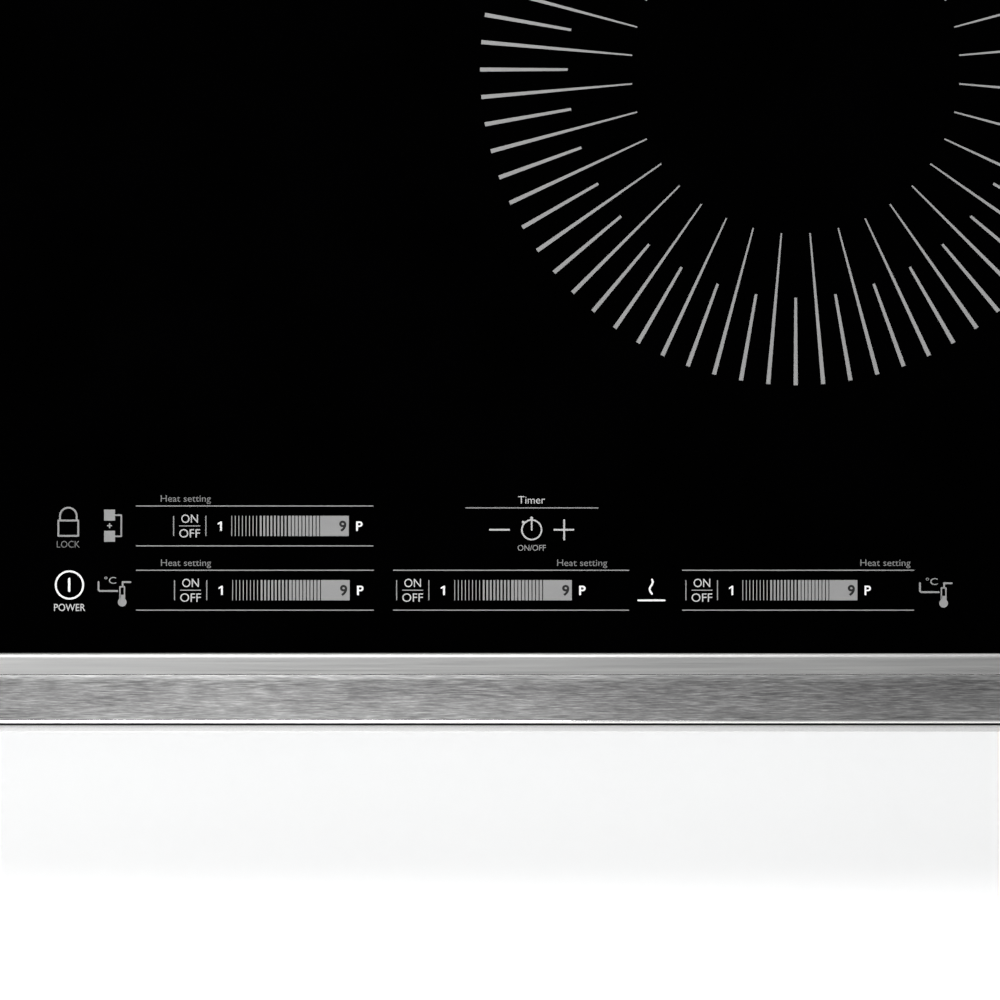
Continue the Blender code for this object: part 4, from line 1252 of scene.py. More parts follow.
for centre in FAN_CENTRES.values():
    for spot in arc(centre, GUARD_SCREWS, 45, 315, 3):
        hex_screw(bm, (*spot, FLOOR_Z), (0, 0, -1), 5 * MM, 1.9 * MM)
for across in (-330, -60, 60, 330):
    hex_screw(bm, (across * MM, -WALL_Y, 91 * MM), (0, -1, 0), 6 * MM, 2.6 * MM)
    hex_screw(bm, (across * MM, WALL_Y, 91 * MM), (0, 1, 0), 6 * MM, 2.6 * MM)
piece("box_screws", bm, zinc, sharp=35)

# %% [markdown]
# The supply comes in through a moulded bush. Outside, its flange gets the ribs that a hand grips,
# and inside, a hexagon nut holds it against the sheet. An earth screw with a toothed washer sits
# beside it.

# %% Grip of the supply bush
bush_low, bush_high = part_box("conduit_bush")
bush = (bush_low + bush_high) / 2
bm = bmesh.new()
BUSH_FLANGE = 18 * MM
RIBS = 24
for i in range(RIBS):
    turn = Matrix.Rotation(2 * math.pi * i / RIBS, 4, "Y")
    place = Matrix.Translation((bush.x, 0, bush.z)) @ turn
    low = (BUSH_FLANGE - 1.0 * MM, WALL_Y + 1.6 * MM, -0.9 * MM)
    box(bm, low, (BUSH_FLANGE + 0.7 * MM, WALL_Y + 5.0 * MM, 0.9 * MM), 0.35 * MM, 1, place)
piece("bush_grip", bm, black_plastic)


# %% Nut and earth screw
def nut(bm, place, corner, bore, height, steps=24):
    """A hexagon nut with a round bore: a ring whose outside is pulled in between its six corners."""
    made = turned(bm, [(bore, 0), (corner, 0), (corner, height), (bore, height)], steps)
    for vert in made:
        if vert.co.xy.length > (corner + bore) / 2:
            past_corner = math.atan2(vert.co.y, vert.co.x) % (math.pi / 3) - math.pi / 6
            vert.co.xy = vert.co.xy * math.cos(math.pi / 6) / math.cos(past_corner)
    bmesh.ops.transform(bm, matrix=place, verts=made)


bm = bmesh.new()
nut(bm, facing((bush.x, WALL_Y - 1.2 * MM, bush.z), (0, -1, 0)), 19.5 * MM, 14.2 * MM, 3.6 * MM)
piece("bush_nut", bm, black_plastic, sharp=25)
bm = bmesh.new()
EARTH = (bush.x - 30 * MM, WALL_Y, bush.z - 8 * MM)
for i in range(12):
    turn = facing(EARTH, (0, 1, 0)) @ Matrix.Rotation(2 * math.pi * i / 12, 4, "Z")
    box(bm, (3 * MM, -0.8 * MM, 0.02 * MM), (6.2 * MM, 0.8 * MM, 0.8 * MM), place=turn)
hex_screw(bm, (EARTH[0], EARTH[1] + 0.6 * MM, EARTH[2]), (0, 1, 0), 7 * MM, 3.4 * MM)
piece("earth_screw", bm, zinc, sharp=35)

# %% [markdown]
# The finger guard under each fan is moulded, with a domed hub and round rings. The frame's guard
# is flat, so a dome and rounded beads along its rings are turned and laid under it.

# %% Finger guards
for side, (x, y) in FAN_CENTRES.items():
    middle = Matrix.Translation((x, y, 0))
    bm = bmesh.new()
    dome = [(0, 2.6), (7.6, 2.7), (8.4, 3.0), (8.6, 3.9), (0, 3.9)]
    turned(bm, [(r * MM, z * MM) for r, z in dome], 32, middle)
    for radius in (12, 20, 28, 36):
        loop = [(radius - 0.8, 3.9), (radius - 0.55, 3.3), (radius + 0.55, 3.3), (radius + 0.8, 3.9)]
        turned(bm, [(r * MM, z * MM) for r, z in loop], 64, middle)
    piece(f"guard_rings_{side}", bm, black_plastic, sharp=50)

# %% [markdown]
# ## Hold-down clamps
#
# On each side a long screw turns in a bracket and pushes a soft pad up against the underside of
# the worktop. The thread is a true helix: a small triangle is spun about the axis while it climbs,
# 1.5 mm for each turn, which is the pitch that the frame's joints use. The knob's grip is an
# outline of shallow scallops, extruded and bevelled.


# %% Thread
def thread(bm, centre, low, high, root, crest, pitch, steps=14):
    """A helical ridge from low to high round an upright axis."""
    turns = (high - low - pitch) / pitch
    profile = [(root - 0.15 * MM, 0), (crest, pitch * 0.42), (crest, pitch * 0.58), (root - 0.15 * MM, pitch)]
    verts = [bm.verts.new((centre[0] + r, centre[1], low + z)) for r, z in profile]
    face = bm.faces.new(verts)
    count = round(turns * steps)
    bmesh.ops.spin(
        bm,
        geom=[face, *face.edges, *verts],
        cent=(*centre, 0),
        axis=(0, 0, 1),
        dvec=(0, 0, pitch / steps),
        angle=2 * math.pi * turns,
        steps=count,
    )


def scalloped(radius, depth, lobes, points_each=6):
    """An outline with shallow scallops, for a knob that fingers turn."""
    count = lobes * points_each
    turns = [2 * math.pi * i / count for i in range(count)]
    reach = [radius - depth * (0.5 - 0.5 * math.cos(lobes * t)) for t in turns]
    return [(r * math.cos(t), r * math.sin(t)) for r, t in zip(reach, turns)]


# %% Clamp bolt
CLAMP_PITCH = 1.5 * MM
ROOT, CREST = 2.5 * MM, 3.0 * MM


def clamp_bolt(side, low, high, axis):
    """The threaded rod, from the knob up to the pad."""
    bm = bmesh.new()
    rod(bm, (*axis, low.z + 6 * MM), (*axis, high.z), ROOT, 24)
    thread(bm, axis, low.z + 8.4 * MM, high.z - 0.4 * MM, ROOT, CREST, CLAMP_PITCH)
    piece(f"clamp_bolt_{side}", bm, zinc, body=f"clamp_screw_{side}", sharp=40)


# %% Clamp knob
def clamp_knob(side, low, axis):
    """The plastic grip. It stands for the whole screw of the frame."""
    bm = bmesh.new()
    knob = prism(bm, scalloped(9 * MM, 0.9 * MM, 12), 8 * MM, Matrix.Translation((*axis, low.z)))
    rims = {e for v in knob for e in v.link_edges if abs(e.verts[0].co.z - e.verts[1].co.z) < 1e-6}
    bmesh.ops.bevel(
        bm, geom=list(rims), offset=0.8 * MM, segments=3, profile=0.5, affect="EDGES", material=-1
    )
    made = piece(f"clamp_knob_{side}", bm, black_plastic, body=f"clamp_screw_{side}")
    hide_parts(f"clamp_screw_{side}")


# %% [markdown]
# The pad turns freely on the tip of the screw, so that it doesn't rub the worktop. It is one
# turned part: a socket for the tip, a skirt, and three grooves in its face that grip.

# %% Clamp pad
pad_profile = [(0, 3.3), (3.3, 3.3), (3.3, 0), (6.0, 0), (6.6, 0.6), (6.6, 1.8), (9.0, 4.6), (9.0, 8.2)]
pad_profile += [(8.4, 9.0)]
for groove in (6.6, 4.6, 2.6):
    pad_profile += [(groove + 0.9, 9.0), (groove + 0.6, 8.2), (groove, 8.2), (groove - 0.3, 9.0)]
pad_profile += [(0, 9.0)]


def clamp_pad(side, low, axis):
    """The soft pad that presses on the worktop."""
    bm = bmesh.new()
    profile = [(r * MM, low.z + z * MM) for r, z in pad_profile]
    turned(bm, profile, 48, Matrix.Translation((*axis, 0)))
    made = piece(f"clamp_foot_{side}", bm, black_plastic, body=f"clamp_pad_{side}", sharp=50)
    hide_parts(f"clamp_pad_{side}")


# %% Make the two clamps
for side in ("left", "right"):
    low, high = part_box(f"clamp_screw_{side}")
    axis = ((low.x + high.x) / 2, (low.y + high.y) / 2)
    clamp_bolt(side, low, high, axis)
    clamp_knob(side, low, axis)
    clamp_pad(side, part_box(f"clamp_pad_{side}")[0], axis)

# %% [markdown]
# ## Induction coils
#
# Each zone has one flat coil. It is wound from litz, a rope of hairs of lacquered copper, from a
# small hole in the middle out to the rim. A flat disc with a drawn pattern would do from far off,
# but a real wire along a spiral gives the right light between its turns. The large coil is wound
# in two groups with a space between them, which spreads the heat, so its spiral makes one quick
# step outwards.


# %% Path of a coil
WIRE_RADIUS = 2.3 * MM
TURN_PITCH = 4.9 * MM
POINTS_PER_TURN = 40
GROUP_STEP = {"right": (9, 9 * MM)}
LEAD_SIDE = {"left_front": 20, "left_rear": -20, "centre_rear": -120, "right": -109}


def spiral(centre, inner, outer, level, step, end):
    """Points of a flat spiral that ends at the angle end; step is (turn, extra), which says after
    how many turns a second group begins, and how far out."""
    at_turn, extra = step
    turns = (outer - inner - extra) / TURN_PITCH
    count = int(turns * POINTS_PER_TURN)
    first = math.radians(end) - 2 * math.pi * count / POINTS_PER_TURN
    points = []
    for i in range(count + 1):
        turn = i / POINTS_PER_TURN
        jump = extra * min(1.0, max(0.0, (turn - at_turn) * 3))
        radius = inner + TURN_PITCH * turn + jump
        angle = first + 2 * math.pi * turn
        points.append((centre.x + radius * math.cos(angle), centre.y + radius * math.sin(angle), level))
    return points


# %% Wind the coils
BORE = 20 * MM
for zone in ZONES:
    low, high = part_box(f"coil_winding_{zone}")
    centre = zone_middle(zone)
    rim = (high.x - low.x) / 2
    bm = bmesh.new()
    level = (low.z + high.z) / 2
    step = GROUP_STEP.get(zone, (0, 0.0))
    path = spiral(centre, BORE + WIRE_RADIUS, rim - WIRE_RADIUS, level, step, LEAD_SIDE[zone])
    wire(bm, path, WIRE_RADIUS, 2)
    turns = (len(path) - 1) / POINTS_PER_TURN
    made = piece(f"coil_turns_{zone}", bm, copper, sharp=60)
    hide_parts(f"coil_winding_{zone}")
    print(zone, "coil:", round(turns, 1), "turns")

# %% [markdown]
# Bars of ferrite lie between the spokes of each former and send the field upwards. A drop of
# silicone holds each end. The sensor in the middle is pushed up against the glass by a small
# conical spring, whose turns fold into each other.

# %% Ferrite bars
FERRITE_WIDTH = 9 * MM
SPOKES = 8
DROP = [(0, 0), (4.2 * MM, 0), (3.6 * MM, 0.8 * MM), (2.0 * MM, 1.3 * MM), (0, 1.4 * MM)]
for zone in ZONES:
    low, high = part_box(f"coil_former_{zone}")
    centre = zone_middle(zone)
    rim = (high.x - low.x) / 2
    bars, glue = bmesh.new(), bmesh.new()
    inner, outer = 34 * MM, rim - 10 * MM
    for i in range(SPOKES):
        angle = (i + 0.5) * 2 * math.pi / SPOKES
        turn = Matrix.Translation((centre.x, centre.y, 0)) @ Matrix.Rotation(angle, 4, "Z")
        pieces_in_row = 2 if outer - inner > 60 * MM else 1
        length = (outer - inner) / pieces_in_row
        for k in range(pieces_in_row):
            start = inner + k * length
            half = FERRITE_WIDTH / 2 if start > 40 * MM or pieces_in_row == 2 else 4 * MM
            corner = (start + 0.5 * MM, -half, low.z - 0.1 * MM)
            box(bars, corner, (start + length - 0.5 * MM, half, high.z - 1.2 * MM), 0.5 * MM, 2, turn)
        for start in (inner + 5 * MM, outer - 5 * MM):
            turned(glue, DROP, 14, turn @ Matrix.Translation((start, 0, high.z - 1.4 * MM)))
    piece(f"ferrite_bars_{zone}", bars, ferrite)
    piece(f"ferrite_glue_{zone}", glue, white_nylon, sharp=60)


# %% Coil springs
def cone_spring(bm, centre, low, high, base, top, thick, turns):
    """A spring whose radius changes from base to top, so that it folds flat."""
    count = int(turns * 20)
    points = []
    for i in range(count + 1):
        t = i / count
        radius = base + (top - base) * t
        angle = 2 * math.pi * turns * t
        rise = min(1.0, max(0.0, (t * turns - 0.6) / (turns - 1.2)))
        height = low + thick + (high - low - 2 * thick) * rise
        points.append((centre.x + radius * math.cos(angle), centre.y + radius * math.sin(angle), height))
    wire(bm, points, thick, 1)


# %% Sensor springs
for zone in ZONES:
    centre = zone_middle(zone)
    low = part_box(f"coil_former_{zone}")[1].z
    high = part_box(f"pan_sensor_{zone}")[1].z - 5.4 * MM
    bm = bmesh.new()
    cone_spring(bm, centre, low, high, 9.2 * MM, 4.6 * MM, 0.3 * MM, 3.5)
    made = piece(f"sensor_spring_{zone}", bm, steel_polished, sharp=60)
    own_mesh(made)

# %% [markdown]
# The sensor itself is a silicone cap over a thermistor, on a stem. It is one turned part: the
# stem, the skirt that the spring pushes on, and a raised rim round a dimple, which seals against
# the glass.

# %% Sensor caps
CAP_HEIGHT = 14.4
cap_profile = [(0, 0), (2.9, 0), (2.9, 9.2), (7.1, 9.2), (7.5, 9.7), (7.5, 12.6), (7.1, 13.4)]
cap_profile += [(5.8, 13.8), (5.2, 14.3), (4.4, CAP_HEIGHT), (3.4, 14.1), (0, 14.0)]
for zone in ZONES:
    low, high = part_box(f"pan_sensor_{zone}")
    centre = (low + high) / 2
    bm = bmesh.new()
    scale = (high.z - low.z) / (CAP_HEIGHT * MM)
    lift = Matrix.Translation((centre.x, centre.y, low.z)) @ Matrix.Diagonal((1, 1, scale, 1))
    turned(bm, [(r * MM, z * MM) for r, z in cap_profile], 40, lift)
    made = piece(f"sensor_cap_{zone}", bm, red_silicone, body=f"pan_sensor_{zone}", sharp=50)
    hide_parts(f"pan_sensor_{zone}")
print("sensor:", round((high.z - low.z) / MM, 1), "mm high")

# %% [markdown]
# The shelf is screwed down to its rails, and three bent clips hold each former to the shelf. A
# clip is an outline like a Z that is extruded by its width and turned about the zone.

# %% Shelf screws and former clips
RAIL_MIDDLE = 346 * MM
SHELF_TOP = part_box("coil_shelf")[1].z
bm = bmesh.new()
for sign in (-1, 1):
    for along in (-120, -30, 80, 190):
        hex_screw(bm, (sign * RAIL_MIDDLE, along * MM, SHELF_TOP), (0, 0, 1), 6 * MM, 2.6 * MM)
for zone in ZONES:
    low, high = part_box(f"coil_former_{zone}")
    centre, rim = zone_middle(zone), (high.x - low.x) / 2
    for turn in (50, 170, 290):
        place = Matrix.Translation((centre.x, centre.y, 0)) @ Matrix.Rotation(math.radians(turn), 4, "Z")
        outward = rim + 4.5 * MM
        clip = [(rim + 0.3 * MM, 0), (rim + 9 * MM, 0), (rim + 9 * MM, 1 * MM), (rim + 1.3 * MM, 1 * MM)]
        clip += [(rim + 1.3 * MM, 4.0 * MM), (rim + 0.3 * MM, 4.6 * MM)]
        side = along_y(-4 * MM)
        prism(bm, clip, 8 * MM, place @ Matrix.Translation((0, 0, SHELF_TOP)) @ side)
        spot = place @ Vector((outward + 1.2 * MM, 0, SHELF_TOP + 1 * MM))
        hex_screw(bm, spot, (0, 0, 1), 5 * MM, 2.2 * MM)
piece("shelf_screws", bm, zinc, sharp=35)

# %% [markdown]
# ## Touch electronics
#
# Under the printed keys lies the touch board. A finger is felt through the glass by springs that
# stand on the board and press their tips against it, one below each key. Light guides carry the
# bars of the slide keys up to the glass.

# %% Springs of the touch board
BOARD_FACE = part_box("touch_board")[1].z
UNDER_GLASS_FACE = glass_low.z - 0.15 * MM
KEY_SPRINGS = ((-147, 94), (-147, 66), (-129, 92), (-128, 61), (-93, 92), (-93, 63), (6, 63))
KEY_SPRINGS += ((44, 90), (58, 90), (73, 90), (111, 63), (134, 63), (238, 60))
bm = bmesh.new()
for across, up in KEY_SPRINGS:
    centre = on_glass(across, up)
    cone_spring(bm, centre, BOARD_FACE, UNDER_GLASS_FACE, 3.4 * MM, 3.4 * MM, 0.28 * MM, 5)
piece("key_springs", bm, steel_polished, sharp=60)

# %% Light guides of the touch board
BARS_OF_GUIDE = 9
bm = bmesh.new()
for first, up in ((-100.4, UPPER_ROW), (-100.0, LOWER_ROW), (-1.5, LOWER_ROW), (126.8, LOWER_ROW)):
    start = on_glass(first + STRIP_START, up)
    low = (start.x, start.y - 5.2 * MM, BOARD_FACE)
    box(bm, low, (start.x + STRIP_LENGTH * MM, start.y + 5.2 * MM, BOARD_FACE + 5.2 * MM), 0.6 * MM, 2)
    for k in range(BARS_OF_GUIDE):
        across = start.x + (k + 0.5) * STRIP_LENGTH * MM / BARS_OF_GUIDE
        low = (across - 1.6 * MM, start.y - 3.4 * MM, BOARD_FACE + 5.0 * MM)
        box(bm, low, (across + 1.6 * MM, start.y + 3.4 * MM, BOARD_FACE + 5.7 * MM), 0.3 * MM, 1)
piece("light_guides", bm, white_nylon)
print("touch board:", len(KEY_SPRINGS), "springs")

# %% [markdown]
# ## Power electronics
#
# A populated board looks dense because it repeats a small family of parts at different sizes. So
# each kind of part is one function that adds to a shared bmesh, and each board is a list of
# places. Parts of one finish share one mesh.


# %% Chips and capacitors
def chip(bm, legs, x, y, z, width, depth, height=1.8 * MM, pins=6):
    """A flat integrated circuit with gull legs on two sides."""
    low = (x - width / 2, y - depth / 2, z + 0.15 * MM)
    box(bm, low, (x + width / 2, y + depth / 2, z + height), 0.18 * MM, 1)
    pitch = width / (pins + 0.6)
    for i in range(pins):
        across = x + (i - (pins - 1) / 2) * pitch
        for side in (-1, 1):
            near, far = sorted((y + side * (depth / 2 - 0.1 * MM), y + side * (depth / 2 + 1.1 * MM)))
            low = (across - 0.22 * pitch, near, z - 0.02 * MM)
            box(legs, low, (across + 0.22 * pitch, far, z + 0.5 * MM))


def can(bm, top, x, y, z, radius, height):
    """An electrolytic capacitor: a sleeved can with a crimped foot and a vented lid."""
    profile = [(0, 0), (0.94, 0), (1, 0.02), (1, 0.09), (0.94, 0.115), (1, 0.14), (1, 0.95)]
    profile += [(0.95, 1.0), (0.8, 1.0), (0.78, 0.985), (0, 0.985)]
    turned(bm, [(r * radius, h * height) for r, h in profile], 24, Matrix.Translation((x, y, z)))
    lid = Matrix.Translation((x, y, z + height * 0.985))
    for turn in (0, 90):
        vent = lid @ Matrix.Rotation(math.radians(turn), 4, "Z")
        box(top, (-radius * 0.6, -0.25 * MM, -0.05 * MM), (radius * 0.6, 0.25 * MM, 0.12 * MM), place=vent)
    turned(top, [(0, 0), (radius * 0.76, 0), (radius * 0.76, 0.06 * MM), (0, 0.06 * MM)], 24, lid)


# %% Blocks and power transistors
def block(bm, x, y, z, size, soft=0.6 * MM):
    """A moulded box such as a relay, a film capacitor or a socket."""
    width, depth, height = size
    box(bm, (x - width / 2, y - depth / 2, z), (x + width / 2, y + depth / 2, z + height), soft, 2)


def transistor(body, metal, x, y, z, side):
    """A power transistor that stands against the heat sink; side is the way that it faces."""
    near, far = sorted((x, x + side * 4.6 * MM))
    box(body, (near, y - 7.8 * MM, z + 5 * MM), (far, y + 7.8 * MM, z + 25.5 * MM), 0.5 * MM, 2)
    hex_screw(metal, (x + side * 4.6 * MM, y, z + 19.5 * MM), (side, 0, 0), 5.5 * MM, 2.4 * MM)
    middle = (near + far) / 2
    for leg in (-5.4, 0, 5.4):
        low = (middle - 0.3 * MM, y + (leg - 0.6) * MM, z - 0.1 * MM)
        box(metal, low, (middle + 0.3 * MM, y + (leg + 0.6) * MM, z + 5.4 * MM))


# %% [markdown]
# A choke is a ring of ferrite with wire wound through it. The wire is one closed path that goes
# round the ring while it turns round the ring's section. The section is nearly square, so the path
# is pulled out towards its corners to stay on the surface.


# %% Choke
def choke(core, turns, centre, wire_radius, count):
    """A ring core with one winding that goes round it without a break."""
    middle, half = centre.z, 6.3 * MM
    section = [(12.9, -5.6), (13.6, -6.3), (24.4, -6.3), (25.1, -5.6)]
    section += [(r, -z) for r, z in reversed(section)]
    turned(core, [(r * MM, z * MM) for r, z in section], 40, Matrix.Translation(centre))
    around, reach = 16, half + 0.15 * MM + wire_radius
    path = []
    for i in range(count * around):
        place, angle = 2 * math.pi * i / (count * around), 2 * math.pi * i / around
        corner = max(abs(math.cos(angle)), abs(math.sin(angle)))
        pull = reach / corner**0.78
        radius = 19 * MM + pull * math.cos(angle)
        x, y = centre.x + radius * math.cos(place), centre.y + radius * math.sin(place)
        path.append((x, y, middle + pull * math.sin(angle)))
    wire(turns, path, wire_radius, 1, closed=True)


# %% Rows of small parts
def small_parts(dark, metal, start, z, count, pitch, along):
    """A row of surface-mounted resistors and capacitors, each with its two bright ends."""
    for i in range(count):
        x, y = start[0] + (i * pitch if along == "x" else 0), start[1] + (0 if along == "x" else i * pitch)
        length, width = (2.0, 1.2) if i % 3 else (3.2, 1.6)
        half = (length / 2, width / 2) if along == "y" else (width / 2, length / 2)
        low = ((x - half[0]) * MM, (y - half[1]) * MM, z - 0.05 * MM)
        box(dark, low, ((x + half[0]) * MM, (y + half[1]) * MM, z + 0.6 * MM))
        for side in (-1, 1):
            shift = (side * half[0] * 0.78, 0) if along == "y" else (0, side * half[1] * 0.78)
            end = (half[0] * 0.26, half[1] * 1.04) if along == "y" else (half[0] * 1.04, half[1] * 0.26)
            cx, cy = x + shift[0], y + shift[1]
            low = ((cx - end[0]) * MM, (cy - end[1]) * MM, z - 0.06 * MM)
            box(metal, low, ((cx + end[0]) * MM, (cy + end[1]) * MM, z + 0.65 * MM))


# %% [markdown]
# The two power boards carry the same kinds of parts, laid out for their own side. Each plan lists
# the places in millimetres, with the size where it differs from part to part.

# %% Plans of the power boards
POWER_LAYOUTS = {
    "left": {
        "cans": (
            *((-268, 158, 8, 26), (-248, 158, 8, 26), (-228, 158, 8, 26)),
            *((-278, 2, 5, 14), (-265, 2, 5, 14)),
        ),
        "relays": ((-322, -40), (-322, -14), (-298, -40)),
        "sockets": ((-330, 168, 10, 20), (-125, -56, 26, 9), (-268, -58, 12, 7), (-330, 30, 9, 26)),
        "chips": (
            *((-140, 92, 10, 7), (-205, 92, 13, 8), (-180, 120, 12, 12)),
            *((-140, 14, 13, 8), (-160, -48, 12, 8)),
        ),
        "films": ((-330, 74, 9, 26), (-270, 96, 9, 26), (-252, 96, 9, 26)),
        "posts": ((-160, -20), (-172, 88), (-124, 62)),
        "rows": (
            *((-206, 108, 12, 4, "x"), (-206, 134, 10, 4, "x"), (-156, 0, 10, 4, "x"), (-150, 36, 8, 4, "x")),
            *((-180, -60, 8, 4, "y"), (-258, 30, 9, 4, "y"), (-288, 60, 12, 4, "y"), (-182, 20, 10, 4, "y")),
        ),
        "sink_x": -217,
    },
    "right": {
        "cans": (
            *((268, 158, 8, 26), (248, 158, 8, 26), (228, 158, 8, 26)),
            *((286, 10, 5, 14), (299, 10, 5, 14)),
        ),
        "relays": ((322, -40), (322, -14), (296, -40)),
        "sockets": ((330, 168, 10, 20), (150, -60, 20, 8), (178, -58, 12, 7), (332, 40, 9, 26)),
        "chips": (
            *((150, 60, 10, 7), (190, 92, 13, 8), (180, 120, 12, 12)),
            *((140, 14, 13, 8), (170, -30, 12, 8)),
        ),
        "films": ((290, 60, 9, 26), (272, 96, 9, 26), (254, 96, 9, 26)),
        "posts": ((128, -58), (128, 80), (150, 84)),
        "rows": (
            *((196, 108, 12, 4, "x"), (196, 134, 10, 4, "x"), (130, 0, 10, 4, "x"), (126, 36, 8, 4, "x")),
            *((192, -60, 8, 4, "y"), (272, 30, 9, 4, "y"), (292, 90, 12, 4, "y"), (190, 20, 10, 4, "y")),
        ),
        "sink_x": 233,
    },
}
TRANSISTOR_ROWS = (-46, -18, 12, 42)
SINK_HALF = 25.9


# %% Populate the power boards
def populate(side, plan):
    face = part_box(f"power_board_{side}")[1].z
    dark, metal, sleeves, blue = bmesh.new(), bmesh.new(), bmesh.new(), bmesh.new()
    pale, core, turns = bmesh.new(), bmesh.new(), bmesh.new()
    for x, y, radius, height in plan["cans"]:
        can(sleeves, metal, x * MM, y * MM, face, radius * MM, height * MM)
    for x, y in plan["relays"]:
        block(blue, x * MM, y * MM, face, (15.5 * MM, 19 * MM, 15.5 * MM))
    for x, y, width, depth in plan["sockets"]:
        block(pale, x * MM, y * MM, face, (width * MM, depth * MM, 8 * MM), 0.5 * MM)
        across = max(width, depth) / 5
        for i in range(4):
            shift = (i - 1.5) * across
            px, py = (x + shift, y) if width > depth else (x, y + shift)
            half = 0.32 * across
            low = ((px - half) * MM, (py - half) * MM, face + 7.9 * MM)
            box(metal, low, ((px + half) * MM, (py + half) * MM, face + 8.5 * MM))
    for x, y, width, depth in plan["chips"]:
        chip(dark, metal, x * MM, y * MM, face, width * MM, depth * MM)
    for x, y, width, depth in plan["films"]:
        block(pale, x * MM, y * MM, face, (width * MM, depth * MM, 19 * MM), 0.8 * MM)
    for x, y in plan["posts"]:
        post = [(0, 0), (5.2, 0), (5.2, 0.7), (4.2, 0.9), (4.2, 1.8), (3.6, 2.2), (0, 2.2)]
        turned(metal, [(r * MM, z * MM) for r, z in post], 24, Matrix.Translation((x * MM, y * MM, face)))
    for x, y, count, pitch, along in plan["rows"]:
        small_parts(dark, metal, (x, y), face, count, pitch, along)
    for way in (-1, 1):
        for along in TRANSISTOR_ROWS:
            transistor(dark, metal, (plan["sink_x"] + way * SINK_HALF) * MM, along * MM, face, way)
    choke_low, choke_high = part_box(f"line_choke_{side}")
    centre = (choke_low + choke_high) / 2
    choke(core, turns, centre, 0.75 * MM, 26)
    piece(f"board_parts_dark_{side}", dark, black_plastic)
    piece(f"board_parts_metal_{side}", metal, zinc)
    piece(f"board_cans_{side}", sleeves, cable_sheath, sharp=50)
    piece(f"board_relays_{side}", blue, blue_lacquer)
    piece(f"board_sockets_{side}", pale, white_nylon)
    piece(f"choke_core_{side}", core, ferrite, sharp=50)
    made = piece(f"choke_turns_{side}", turns, copper, sharp=60)
    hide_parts(f"line_choke_{side}")


for side, plan in POWER_LAYOUTS.items():
    populate(side, plan)

# %% [markdown]
# The filter board keeps the switching noise of the power stages out of the mains. It has a choke
# of its own, film capacitors, blue discs and a glass fuse between two spring clips.

# %% Populate the filter board
filter_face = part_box("filter_board")[1].z
dark, metal, yellow, blue = bmesh.new(), bmesh.new(), bmesh.new(), bmesh.new()
pale, core, turns = bmesh.new(), bmesh.new(), bmesh.new()
choke(core, turns, Vector((0, 150 * MM, filter_face + 8.2 * MM)), 0.75 * MM, 24)
for x, y in ((-45, 150), (45, 150), (-45, 90)):
    block(yellow, x * MM, y * MM, filter_face, (12 * MM, 32 * MM, 20 * MM), 0.8 * MM)
for x, y in ((-20, 100), (-6, 100), (8, 100), (22, 100)):
    disc = facing((x * MM, y * MM, filter_face + 7 * MM), (0, 1, 0))
    lens = [(0, -1.6), (3.6, -1.6), (5.2, -0.8), (5.2, 0.8), (3.6, 1.6), (0, 1.6)]
    turned(blue, lens, 24, disc @ Matrix.Scale(MM, 4))
    for side in (-1, 1):
        leg = Vector(((x + side * 2.5) * MM, y * MM, filter_face))
        rod(metal, leg - Vector((0, 0, 0.1 * MM)), leg + Vector((0, 0, 4 * MM)), 0.35 * MM, 8)
for side in (-1, 1):
    block(metal, side * 10 * MM, 72 * MM, filter_face, (4 * MM, 7 * MM, 7.5 * MM), 0.3 * MM)
fuse = Vector((13 * MM, 72 * MM, filter_face + 5.5 * MM))
rod(pale, (-fuse.x, fuse.y, fuse.z), fuse, 2.6 * MM, 20)
block(pale, 58 * MM, 201 * MM, filter_face, (18 * MM, 20 * MM, 13 * MM), 0.6 * MM)
block(pale, -58 * MM, 201 * MM, filter_face, (12 * MM, 16 * MM, 9 * MM), 0.6 * MM)
small_parts(dark, metal, (28, 70), filter_face, 10, 4, "x")
small_parts(dark, metal, (-66, 120), filter_face, 8, 4, "y")
small_parts(dark, metal, (66, 66), filter_face, 20, 4, "y")
piece("filter_parts_dark", dark, black_plastic)
piece("filter_parts_metal", metal, zinc)
piece("filter_capacitors", yellow, yellow_film)
piece("filter_discs", blue, blue_lacquer, sharp=50)
piece("filter_sockets", pale, white_nylon)
piece("filter_core", core, ferrite, sharp=50)
piece("filter_turns", turns, copper, sharp=60)

# %% [markdown]
# The touch board itself only needs flat parts, because it lies close under the glass: a
# controller, two drivers, rows of small parts, a socket for the ribbon and the four screws of its
# tray.

# %% Parts of the touch board
dark, metal, pale = bmesh.new(), bmesh.new(), bmesh.new()
chip(dark, metal, 40 * MM, -205 * MM, BOARD_FACE, 14 * MM, 12 * MM, 1.8 * MM, 12)
chip(dark, metal, 200 * MM, -180 * MM, BOARD_FACE, 9 * MM, 6 * MM)
chip(dark, metal, -60 * MM, -195.5 * MM, BOARD_FACE, 9 * MM, 5 * MM, 1.6 * MM)
block(pale, -125 * MM, -163.5 * MM, BOARD_FACE, (22 * MM, 5 * MM, 4.6 * MM), 0.4 * MM)
for x, y, count in ((110, -175, 10), (60, -166, 8), (-80, -166, 14), (20, -222, 12)):
    small_parts(dark, metal, (x, y), BOARD_FACE, count, 4, "x")
for x in (-167, -60, 110, 257):
    hex_screw(metal, (x * MM, -227.5 * MM, BOARD_FACE), (0, 0, 1), 4 * MM, 1.9 * MM)
piece("touch_parts_dark", dark, black_plastic)
piece("touch_parts_metal", metal, zinc)
piece("touch_socket", pale, white_nylon)

# %% [markdown]
# ## Terminals and fans
#
# Each well of the terminal block holds a brass cage with a slotted screw. The cage is four thin
# walls, and the screw two half-round jaws on a disc, because a slot is easier left than cut.


